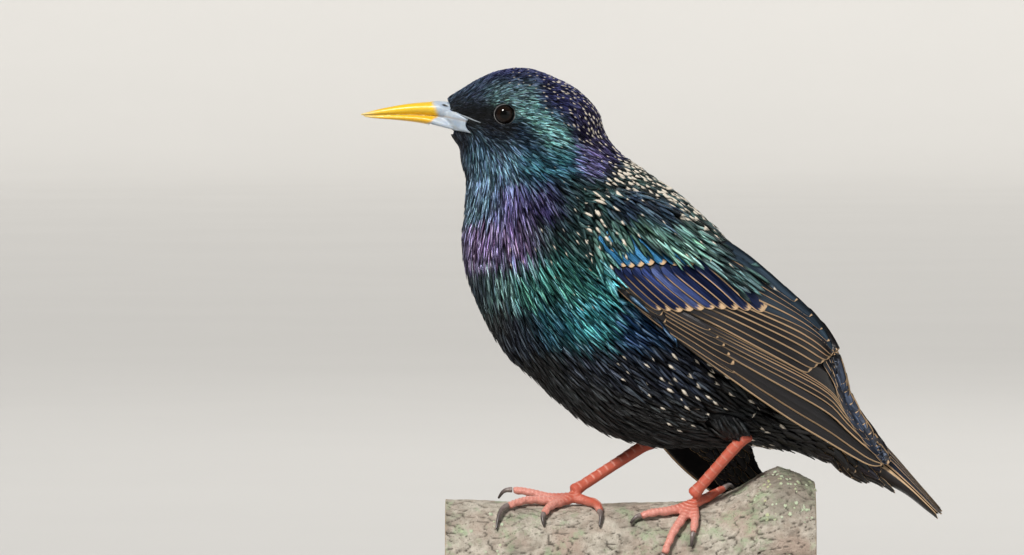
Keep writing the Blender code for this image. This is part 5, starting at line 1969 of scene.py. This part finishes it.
def make_legs():
    """Shanks and feet as one skin each, with overlapping plates down their fronts."""
    material = leg_material()
    for name in SIDES:
        nodes = ("shank_" + name, "foot_" + name)
        leg = fuse(joined_copy("leg_" + name, nodes), 0.42 * MM, 3)
        soften(leg, 1)
        points, normals = coordinates(leg.data), vertex_normals(leg.data)
        ankle, foot = (np.array(place) * MM for place in LEGS[name])
        shaft = foot - ankle
        length = np.linalg.norm(shaft)
        along = ((points - ankle) @ shaft) / length
        to_foot = np.linalg.norm(points - foot, axis=1)
        on_toe = smooth_step(-0.0005, 0.0015, along - length + 0.001)
        shank_turn = along / (SCUTE_LENGTH * MM)
        toe_turn = to_foot / (TOE_SCUTE_LENGTH * MM)
        phase = np.where(on_toe > 0.5, toe_turn, shank_turn) % 1.0
        front = smooth_step(-0.35, 0.35, normals @ front_of(shaft / length))
        top = smooth_step(-0.2, 0.35, normals[:, 2])
        plated = np.where(on_toe > 0.5, top, front)
        profile = phase**1.5 - smooth_step(0.86, 1.0, phase) * 1.3
        lift = (profile - 0.45) * 0.20 * MM * plated * (0.75 + 0.25 * on_toe)
        pads = np.sin(2 * math.pi * toe_turn / 2.6) * (1 - top) * on_toe * 0.12 * MM
        joints = 0.50 * np.exp(-((along / MM / 2.6) ** 2))
        joints += 0.30 * np.exp(-(((along - length) / MM / 2.4) ** 2)) * (1 - on_toe)
        place_vertices(leg.data, points + normals * (lift + pads + joints * MM)[:, None])
        store(leg.data, "seam", "FLOAT", smooth_step(0.72, 0.95, phase) * plated)
        store(leg.data, "toe", "FLOAT", np.clip(on_toe * smooth_step(0.001, 0.012, to_foot) + 0.1, 0, 1))
        finish_piece(leg, material, nodes)


def front_of(shaft):
    """The direction that the front of a shank faces."""
    ahead = np.array([-1.0, -0.35, 0.25])
    ahead -= (ahead @ shaft) * shaft
    return ahead / np.linalg.norm(ahead)


def make_claws():
    """Smooth curved claws, darker towards their tips."""
    bare = bpy.context.scene.starling_bare
    material, nodes, shader = new_material("claw")
    place = nodes.place()
    cloud = nodes.noise(place, 700.0, 3.0)
    tip = nodes.attribute("tip", "Fac")
    colour = nodes.mix(nodes.range(cloud, 0.3, 0.7, 0.0, 0.6), bare.claw, (0.34, 0.28, 0.26))
    nodes.give(shader, "Base Color", nodes.mix(tip, colour, (0.045, 0.034, 0.032)))
    nodes.give(shader, "Roughness", nodes.range(cloud, 0.3, 0.7, 0.26, 0.40))
    bump(nodes, shader, cloud, 0.00004)
    for name in SIDES:
        foot = np.array(LEGS[name][1]) * MM
        for toe in TOES:
            node = f"claw_{toe}_{name}"
            claw = soften(joined_copy("horn_" + node, (node,)), 2)
            points = coordinates(claw.data)
            middle = points.mean(0)
            points = middle + (points - middle) * 1.07 + vertex_normals(claw.data) * 0.07 * MM
            place_vertices(claw.data, points)
            reach = np.linalg.norm(points - foot, axis=1)
            share = (reach - reach.min()) / (reach.max() - reach.min())
            store(claw.data, "tip", "FLOAT", smooth_step(0.1, 0.95, share))
            finish_piece(claw, material, (node,))


def grain_group():
    """Node group for wood: stretched fibres round an axis, used by the cut ends and the base."""
    inputs = (
        ("Vector", "Vector", (0.0, 0.0, 0.0)),
        ("Dark", "Color", (0.1, 0.05, 0.02, 1)),
        ("Light", "Color", (0.3, 0.15, 0.06, 1)),
        ("Rings", "Float", 400.0),
    )
    tree, nodes, given, result = new_group("Wood grain", inputs, (("Colour", "Color"), ("Height", "Float")))
    _, y, z = nodes.split(given["Vector"])
    bend = nodes.noise(given["Vector"], 30.0, 3.0)
    rings = nodes.math("SINE", nodes.sum(bend, 0.004, nodes.math("SQRT", y**2.0 + z**2.0)) * given["Rings"])
    fibre = nodes.noise(nodes.mapped(given["Vector"], Scale=(60.0, 1800.0, 1800.0)), 1.0, 4.0)
    share = nodes.math("MULTIPLY_ADD", rings, 0.28, fibre, clamp=True)
    nodes.give(result, "Colour", nodes.mix(share, given["Dark"], given["Light"]))
    nodes.give(result, "Height", fibre + rings * 0.3)
    return tree


def bark_material(grain):
    """Grey tan bark with pale worn lumps, dark pits and cracks, green film, and sawn ends; the pits' and
    cracks' dark is partly the bark's own and partly painted shade, and its hollows are darkened as painted
    shade.
    """
    looks = bpy.context.scene.starling_perch
    material, nodes, shader = new_material("bark")
    place = nodes.place()
    broad = nodes.noise(place, 70.0, 4.0)
    middle = nodes.noise(place, 420.0, 5.0, 0.65)
    fine = nodes.noise(place, 1700.0, 4.0, 0.7)
    aside = nodes.mapped(place, Location=(0.3, 0.1, 0.2))
    film = nodes.noise(aside, 110.0, 5.0, 0.7)
    stain = nodes.noise(aside, 45.0, 5.0, 0.6)
    colour = nodes.mix(nodes.range(middle, 0.36, 0.64, 0.0, 1.0), looks.bark, looks.bark_pale)
    colour = nodes.mix(nodes.range(broad, 0.45, 0.62, 0.0, 0.7), colour, (0.42, 0.31, 0.25))
    colour = nodes.mix(nodes.range(film, 0.52, 0.64, 0.0, 0.75), colour, looks.lichen)
    colour = nodes.mix(nodes.range(stain, 0.50, 0.68, 0.0, 0.65), colour, (0.15, 0.13, 0.10))
    colour = nodes.mix(nodes.range(fine, 0.56, 0.70, 0.0, 0.8), colour, looks.bark_dark)
    # Painted shade: the cracks, pits and hollows are darkened, with the bark's own darker colour in the
    # cracks and pits.
    colour = nodes.mix(nodes.attribute("crack", "Fac"), colour, looks.bark_dark)
    centred = nodes.mapped(place, Location=(0.0, 0.0, -0.0500))
    values = {"Vector": centred, "Dark": (0.30, 0.19, 0.10), "Light": looks.heartwood, "Rings": 5200.0}
    ends = nodes.add("ShaderNodeGroup", values, node_tree=grain)
    colour = nodes.mix(nodes.attribute("sawn", "Fac"), colour, ends.outputs["Colour"])
    nodes.give(shader, "Base Color", colour)
    nodes.give(shader, "Roughness", nodes.range(middle, 0.3, 0.7, 0.78, 0.95))
    bump(nodes, shader, middle + fine * 0.8, 0.0005)
    return material


def make_perch():
    """The cut length of branch, with lumps, pits and cracks pressed into its bark."""
    looks = bpy.context.scene.starling_perch
    perch = fuse(joined_copy("branch", ("perch",)), looks.bark_cell, 1)
    points, normals = coordinates(perch.data), vertex_normals(perch.data)
    low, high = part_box("perch")
    from_end = np.minimum(points[:, 0] - low.x, high.x - points[:, 0])
    sawn = smooth_step(0.75, 0.9, np.abs(normals[:, 0])) * (from_end < 1.2 * MM)
    shift = np.zeros(len(points))
    crack = np.zeros(len(points))
    for i, point in enumerate(points):
        x, y, z = Vector(point) / MM
        lump = noise.fractal(Vector((x, y, z)) * 0.16, 1.0, 2.0, 4)
        plates = noise.fractal(Vector((x * 0.35, y * 0.75, z * 0.75)), 0.9, 2.1, 4)
        lines = 1 - abs(noise.noise(Vector((x * 0.14, y * 0.42, z * 0.42)) + Vector((7, 3, 5))))
        shift[i] = lump * 0.7 + plates * 0.55
        crack[i] = max(lines - 0.93, 0.0) / 0.07
    pits = smooth_step(0.25, 0.8, crack)
    move = np.minimum(shift * looks.relief, 0.12 * MM) - pits * looks.crack_depth * 0.8 - 0.15 * MM
    on_bark = (1 - sawn) * smooth_step(-0.2 * MM, 1.0 * MM, from_end)
    around_rods = smooth_step(4.4, 6.0, rod_distance(points)) + (points[:, 2] > 0.045)
    move *= on_bark * np.clip(around_rods, 0, 1)
    place_vertices(perch.data, points + normals * move[:, None])
    # Painted shade in the cracks and pits, with the bark's own darker colour there, and painted shade in the
    # hollows between the lumps.
    dark = np.clip(pits * 0.9 + smooth_step(0.2, 0.6, -shift) * 0.35, 0, 1)
    store(perch.data, "crack", "FLOAT", dark * (1 - sawn))
    store(perch.data, "sawn", "FLOAT", sawn)
    store(perch.data, "up", "FLOAT_VECTOR", vertex_normals(perch.data))
    height_share = smooth_step(0.030, 0.062, points[:, 2])
    store(perch.data, "crusted", "FLOAT", (1 - sawn) * crust_share(points) * height_share)
    grain = grain_group()
    finish_piece(perch, bark_material(grain), ("perch",))


def rod_distance(points):
    """Distance in plan from the nearer rod, in millimetres."""
    gaps = []
    for name in ("stand_rod_front", "stand_rod_back"):
        low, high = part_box(name)
        middle = (low + high) / 2
        gaps.append(np.hypot(points[:, 0] - middle.x, points[:, 1] - middle.y))
    return np.minimum(*gaps) / MM


def crust_share(points):
    """Where lichen grows: patches towards the back end and near the front end."""
    x = points[:, 0] / MM
    share = np.exp(-(((x - 44) / 9) ** 2)) + 0.55 * np.exp(-(((x + 50) / 8) ** 2))
    cloud = np.array([noise.noise(Vector(p) / MM * 0.13) for p in points])
    return np.clip(share, 0, 1) * smooth_step(-0.05, 0.35, cloud)


def crust_lobe():
    """A small lobed plate of lichen with a curled rim, in a few dozen faces."""
    shape = bmesh.new()
    middle = shape.verts.new((0, 0, 0.10))
    around = 14
    rings = []
    for radius, height in ((0.55, 0.16), (1.0, 0.30), (0.92, 0.02)):
        ring = []
        for i in range(around):
            angle = 2 * math.pi * i / around
            lobe = 1 + 0.22 * math.sin(5 * angle + 0.6) + 0.12 * math.sin(3 * angle)
            rise = height * (1 + 0.3 * math.sin(4 * angle))
            x, y = radius * lobe * math.cos(angle), radius * lobe * math.sin(angle)
            ring.append(shape.verts.new((x, y, rise)))
        rings.append(ring)
    under = shape.verts.new((0, 0, -0.05))
    for i in range(around):
        j = (i + 1) % around
        shape.faces.new((middle, rings[0][i], rings[0][j]))
        for ring, following in zip(rings, rings[1:]):
            shape.faces.new((ring[i], following[i], following[j], ring[j]))
        shape.faces.new((rings[2][i], under, rings[2][j]))
    lobe = object_of("lobe", mesh_of("lobe", shape))
    lobe.hide_render = True
    return lobe


def crust_tree():
    """Geometry nodes that scatter lichen lobes over the bark where it is marked as crusted."""
    inputs = (
        ("Lobe", "Object"), ("Material", "Material"), ("Density", "Float"), ("Smallest", "Float"),
        ("Largest", "Float"), ("Seed", "Int"),
    )
    tree, nodes, given, result = new_geometry("Grow crusts", inputs)
    density = nodes.named("crusted", "FLOAT") * given["Density"]
    values = {"Mesh": given["Geometry"], "Density": density, "Seed": given["Seed"]}
    points = nodes.add("GeometryNodeDistributePointsOnFaces", values, distribute_method="RANDOM")
    turn = nodes.random(-3.14, 3.14, given["Seed"])
    spin = nodes.add("FunctionNodeEulerToRotation", {0: nodes.join(0.0, 0.0, turn)})
    values = {"Rotation": points.outputs["Rotation"], "Rotate By": spin}
    turned = nodes.add("FunctionNodeRotateRotation", values, rotation_space="LOCAL")
    size = nodes.random(given["Smallest"], given["Largest"], given["Seed"])
    lobe = nodes.add("GeometryNodeObjectInfo", {"Object": given["Lobe"]}).outputs["Geometry"]
    values = {"Points": points.outputs["Points"], "Instance": lobe, "Rotation": turned}
    values["Scale"] = nodes.join(size, size, size)
    laid = nodes.add("GeometryNodeInstanceOnPoints", values)
    real = nodes.add("GeometryNodeRealizeInstances", {"Geometry": laid})
    smooth = nodes.add("GeometryNodeSetShadeSmooth", {"Geometry": real})
    dressed = nodes.add("GeometryNodeSetMaterial", {"Geometry": smooth, "Material": given["Material"]})
    nodes.give(result, "Geometry", dressed)
    return tree


def make_lichen():
    """Crusts of pale green lichen on the perch."""
    looks = bpy.context.scene.starling_perch
    material, nodes, shader = new_material("lichen")
    place = nodes.place()
    cloud = nodes.noise(place, 900.0, 4.0)
    patch = nodes.noise(place, 180.0, 2.0)
    colour = nodes.mix(nodes.range(cloud, 0.3, 0.7, 0.0, 1.0), looks.lichen, (0.60, 0.64, 0.50))
    colour = nodes.mix(nodes.range(patch, 0.5, 0.7, 0.0, 0.6), colour, (0.44, 0.42, 0.16))
    nodes.give(shader, "Base Color", colour)
    nodes.give(shader, "Roughness", nodes.range(cloud, 0.3, 0.7, 0.75, 0.95))
    bump(nodes, shader, cloud, 0.00015)
    perch = bpy.data.objects["branch"]
    crust = object_of("lichen", perch.data.copy())
    lobe = crust_lobe()
    values = {"Lobe": lobe, "Material": material, "Density": looks.crusts, "Seed": looks.seed}
    values.update({"Smallest": 0.20 * MM, "Largest": 0.62 * MM})
    grow(crust, crust_tree(), values)
    drop(crust.data, "crack", "sawn", "up", "crusted")
    bpy.data.objects.remove(lobe)
    finish_piece(crust, smooth=False)
    drop(perch.data, "up", "crusted")


def make_stand():
    """The wooden base with eased edges and the two brushed steel rods."""
    looks = bpy.context.scene.starling_perch
    wood, nodes, shader = new_material("base_wood")
    aside = nodes.mapped(nodes.place(), Location=(0.0, 0.011, 0.035))
    values = {"Vector": aside, "Dark": looks.base_wood, "Light": looks.base_grain, "Rings": 2300.0}
    grain = nodes.add("ShaderNodeGroup", values, node_tree=bpy.data.node_groups["Wood grain"])
    nodes.give(shader, "Base Color", grain.outputs["Colour"])
    nodes.give(shader, "Roughness", nodes.range(grain.outputs["Height"], 0.2, 1.0, 0.28, 0.42))
    shader.inputs["Coat Weight"].default_value = 0.35
    shader.inputs["Coat Roughness"].default_value = 0.18
    bump(nodes, shader, grain.outputs["Height"], 0.00004)
    low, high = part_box("stand_base")
    shape = bmesh.new()
    bmesh.ops.create_cube(shape, size=1.0)
    middle = (low + high) / 2
    size = high - low
    spread = Matrix.Translation(middle) @ Matrix.Diagonal((*size, 1.0))
    bmesh.ops.transform(shape, matrix=spread, verts=shape.verts)
    upright = [e for e in shape.edges if abs((e.verts[0].co - e.verts[1].co).normalized().z) > 0.9]
    bmesh.ops.bevel(shape, geom=upright, offset=6 * MM, segments=8, profile=0.5, affect="EDGES")
    rim = [e for e in shape.edges if all(v.co.z > high.z - WELD for v in e.verts) and len(e.link_faces) == 2
           and any(abs(f.normal.z) < 0.5 for f in e.link_faces)]
    bmesh.ops.bevel(shape, geom=rim, offset=2.2 * MM, segments=6, profile=0.5, affect="EDGES")
    plinth = object_of("plinth", mesh_of("plinth", shape))
    finish_piece(plinth, wood, ("stand_base",))
    plinth.data.set_sharp_from_angle(angle=math.radians(40))
    make_rods()


def make_rods():
    """Turned steel rods with a small collar on the base."""
    steel, nodes, shader = new_material("rod_steel")
    brushed = nodes.noise(nodes.mapped(nodes.place(), Scale=(300.0, 300.0, 9000.0)), 1.0, 3.0)
    nodes.give(shader, "Base Color", nodes.mix(brushed, (0.42, 0.42, 0.42), (0.60, 0.59, 0.57)))
    shader.inputs["Metallic"].default_value = 1.0
    nodes.give(shader, "Roughness", nodes.range(brushed, 0.3, 0.7, 0.24, 0.38))
    bump(nodes, shader, brushed, 0.00002)
    for node in ("stand_rod_front", "stand_rod_back"):
        low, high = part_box(node)
        middle = (low + high) / 2
        radius = (high.x - low.x) / 2
        foot = low.z
        collar = 1.9 * radius
        profile = (
            (0.02 * radius, foot), (collar * 0.98, foot), (collar, foot + 0.4 * MM),
            (collar, foot + 2.2 * MM), (collar * 0.94, foot + 2.6 * MM), (radius * 1.02, foot + 2.8 * MM),
            (radius, foot + 3.2 * MM), (radius, high.z - 0.3 * MM), (radius * 0.9, high.z),
            (0.02 * radius, high.z),
        )
        around = [(math.cos(2 * math.pi * j / 48), math.sin(2 * math.pi * j / 48)) for j in range(48)]
        rings = []
        for reach, z in profile:
            rings.append([(middle.x + reach * x, middle.y + reach * y, z) for x, y in around])
        rod = object_of(node.replace("stand_", ""), tube_of("rod", rings))
        finish_piece(rod, steel, (node,))
        rod.data.set_sharp_from_angle(angle=math.radians(35))


def area_light(name, place, target, size, power, colour):
    data = bpy.data.lights.new(name, "AREA")
    data.shape = "RECTANGLE"
    data.size, data.size_y = size
    data.energy = power
    data.color = colour
    light = object_of(name, data)
    light.location = place
    light.rotation_euler = (Vector(target) - Vector(place)).to_track_quat("-Z", "Y").to_euler()
    light.visible_camera = False


def make_stage():
    """Pale floor that turns up far away, soft lights, room light and the camera."""
    stage = bpy.context.scene.starling_stage
    shape = bmesh.new()
    profile = [(max(stage.floor_radius * (i / 24), 0.001), 0.0) for i in range(25)]
    for i in range(1, 17):
        angle = math.pi / 2 * i / 16
        profile.append((stage.floor_radius + 2.0 * math.sin(angle), 2.0 * (1 - math.cos(angle))))
    profile.append((stage.floor_radius + 2.0, 6.0))
    around = 96
    rows = []
    for reach, z in profile:
        turns = (2 * math.pi * j / around for j in range(around))
        rows.append([shape.verts.new((reach * math.cos(t), reach * math.sin(t), z)) for t in turns])
    for row, following in zip(rows, rows[1:]):
        for i, corner in enumerate(row):
            j = (i + 1) % around
            shape.faces.new((corner, following[i], following[j], row[j]))
    shape.faces.new(rows[0])
    mesh = mesh_of("floor", shape)
    mesh.shade_smooth()
    floor = object_of("floor", mesh)
    material, nodes, shader = new_material("pale_floor")
    place = nodes.place()
    cloud = nodes.noise(place, 4.0, 2.0)
    nodes.give(shader, "Base Color", nodes.mix(cloud, stage.floor, tuple(c * 0.96 for c in stage.floor)))
    nodes.give(shader, "Roughness", nodes.range(cloud, 0.3, 0.7, 0.85, 0.95))
    mesh.materials.append(material)
    target = (-0.01, 0.0, 0.13)
    key = bpy.data.lights.new("key", "SUN")
    key.energy = stage.key_power
    key.angle = stage.key_spread
    key.color = (1.0, 0.97, 0.93)
    sun = object_of("key", key)
    sun.rotation_euler = Vector((0.42, 1.0, -0.95)).to_track_quat("-Z", "Y").to_euler()
    area_light("fill", (1.3, -1.5, 0.7), target, (1.4, 1.2), stage.fill_power, (0.93, 0.96, 1.0))
    area_light("back", (0.5, 1.5, 1.3), target, (0.9, 0.9), stage.back_power, (1.0, 0.98, 0.95))
    world = bpy.data.worlds.new("room")
    world.use_nodes = True
    background = world.node_tree.nodes["Background"]
    background.inputs["Color"].default_value = (0.92, 0.95, 1.0, 1.0)
    background.inputs["Strength"].default_value = stage.sky
    bpy.context.scene.world = world
    camera_data = bpy.data.cameras.new("camera")
    camera_data.lens = stage.lens
    camera_data.sensor_width = 36.0
    camera_data.clip_start = 0.05
    camera_data.clip_end = 60.0
    camera = object_of("camera", camera_data)
    away = Vector((0.0, -math.cos(stage.tilt), math.sin(stage.tilt)))
    camera.location = Vector(stage.aim) + away * stage.distance
    camera.rotation_euler = (-away).to_track_quat("-Z", "Y").to_euler()
    bpy.context.scene.camera = camera
    bpy.context.scene.view_settings.view_transform = "Standard"


class STARLING_OT_skin(bpy.types.Operator):
    """Make the one skin that stands for the flesh"""

    bl_idname = "starling.skin"
    bl_label = "Skin"

    def execute(self, context):
        make_skin()
        return {"FINISHED"}


class STARLING_OT_coat(bpy.types.Operator):
    """Lay the body feathers over the skin"""

    bl_idname = "starling.coat"
    bl_label = "Body feathers"

    def execute(self, context):
        make_coat()
        return {"FINISHED"}


class STARLING_OT_wings(bpy.types.Operator):
    """Lay the coverts and flight feathers of both wings"""

    bl_idname = "starling.wings"
    bl_label = "Wing feathers"

    def execute(self, context):
        make_wings()
        return {"FINISHED"}


class STARLING_OT_tail(bpy.types.Operator):
    """Lay the tail feathers"""

    bl_idname = "starling.tail"
    bl_label = "Tail feathers"

    def execute(self, context):
        make_tail()
        return {"FINISHED"}


class STARLING_OT_bill(bpy.types.Operator):
    """Make the bill and the folds at its corners"""

    bl_idname = "starling.bill"
    bl_label = "Bill"

    def execute(self, context):
        make_bill()
        return {"FINISHED"}


class STARLING_OT_eyes(bpy.types.Operator):
    """Make the eyeballs"""

    bl_idname = "starling.eyes"
    bl_label = "Eyes"

    def execute(self, context):
        make_eyes()
        return {"FINISHED"}


class STARLING_OT_legs(bpy.types.Operator):
    """Make the plated legs and feet"""

    bl_idname = "starling.legs"
    bl_label = "Legs and feet"

    def execute(self, context):
        make_legs()
        return {"FINISHED"}


class STARLING_OT_claws(bpy.types.Operator):
    """Make the eight claws"""

    bl_idname = "starling.claws"
    bl_label = "Claws"

    def execute(self, context):
        make_claws()
        return {"FINISHED"}


class STARLING_OT_perch(bpy.types.Operator):
    """Make the cut length of branch"""

    bl_idname = "starling.perch"
    bl_label = "Perch"

    def execute(self, context):
        make_perch()
        return {"FINISHED"}


class STARLING_OT_lichen(bpy.types.Operator):
    """Grow lichen on the perch"""

    bl_idname = "starling.lichen"
    bl_label = "Lichen"

    def execute(self, context):
        make_lichen()
        return {"FINISHED"}


class STARLING_OT_stand(bpy.types.Operator):
    """Make the display stand's base and rods"""

    bl_idname = "starling.stand"
    bl_label = "Stand"

    def execute(self, context):
        make_stand()
        return {"FINISHED"}


class STARLING_OT_stage(bpy.types.Operator):
    """Set the floor, lights and camera"""

    bl_idname = "starling.stage"
    bl_label = "Stage"

    def execute(self, context):
        make_stage()
        return {"FINISHED"}


OPERATORS = (
    STARLING_OT_skin,
    STARLING_OT_coat,
    STARLING_OT_wings,
    STARLING_OT_tail,
    STARLING_OT_bill,
    STARLING_OT_eyes,
    STARLING_OT_legs,
    STARLING_OT_claws,
    STARLING_OT_perch,
    STARLING_OT_lichen,
    STARLING_OT_stand,
    STARLING_OT_stage,
)


class STARLING_PT_build(bpy.types.Panel):
    """Lists the steps that build the starling"""

    bl_idname = "STARLING_PT_build"
    bl_label = "Starling"
    bl_space_type = "VIEW_3D"
    bl_region_type = "UI"
    bl_category = "Starling"

    def draw(self, context):
        for operator in OPERATORS:
            self.layout.operator(operator.bl_idname)


SETTINGS = {
    "starling_plumage": StarlingPlumage,
    "starling_tints": StarlingTints,
    "starling_bare": StarlingBareParts,
    "starling_perch": StarlingPerch,
    "starling_stage": StarlingStage,
}


def register():
    for group in SETTINGS.values():
        bpy.utils.register_class(group)
    for name, group in SETTINGS.items():
        setattr(bpy.types.Scene, name, PointerProperty(type=group))
    for operator in OPERATORS:
        bpy.utils.register_class(operator)
    bpy.utils.register_class(STARLING_PT_build)


def unregister():
    bpy.utils.unregister_class(STARLING_PT_build)
    for operator in reversed(OPERATORS):
        bpy.utils.unregister_class(operator)
    for name in SETTINGS:
        delattr(bpy.types.Scene, name)
    for group in SETTINGS.values():
        bpy.utils.unregister_class(group)


def remove_guides():
    """Takes away the shapes that were only measured from."""
    for name in ("form", "bill_guide", "wing_guide_left", "wing_guide_right"):
        guide = bpy.data.objects.get(name)
        if guide:
            bpy.data.objects.remove(guide)


def main():
    register()
    steps = bpy.ops.starling
    steps.skin()
    steps.coat()
    steps.wings()
    steps.tail()
    steps.bill()
    steps.eyes()
    steps.legs()
    steps.claws()
    steps.perch()
    steps.lichen()
    steps.stand()
    steps.stage()
    remove_guides()


if __name__ == "__main__":
    main()
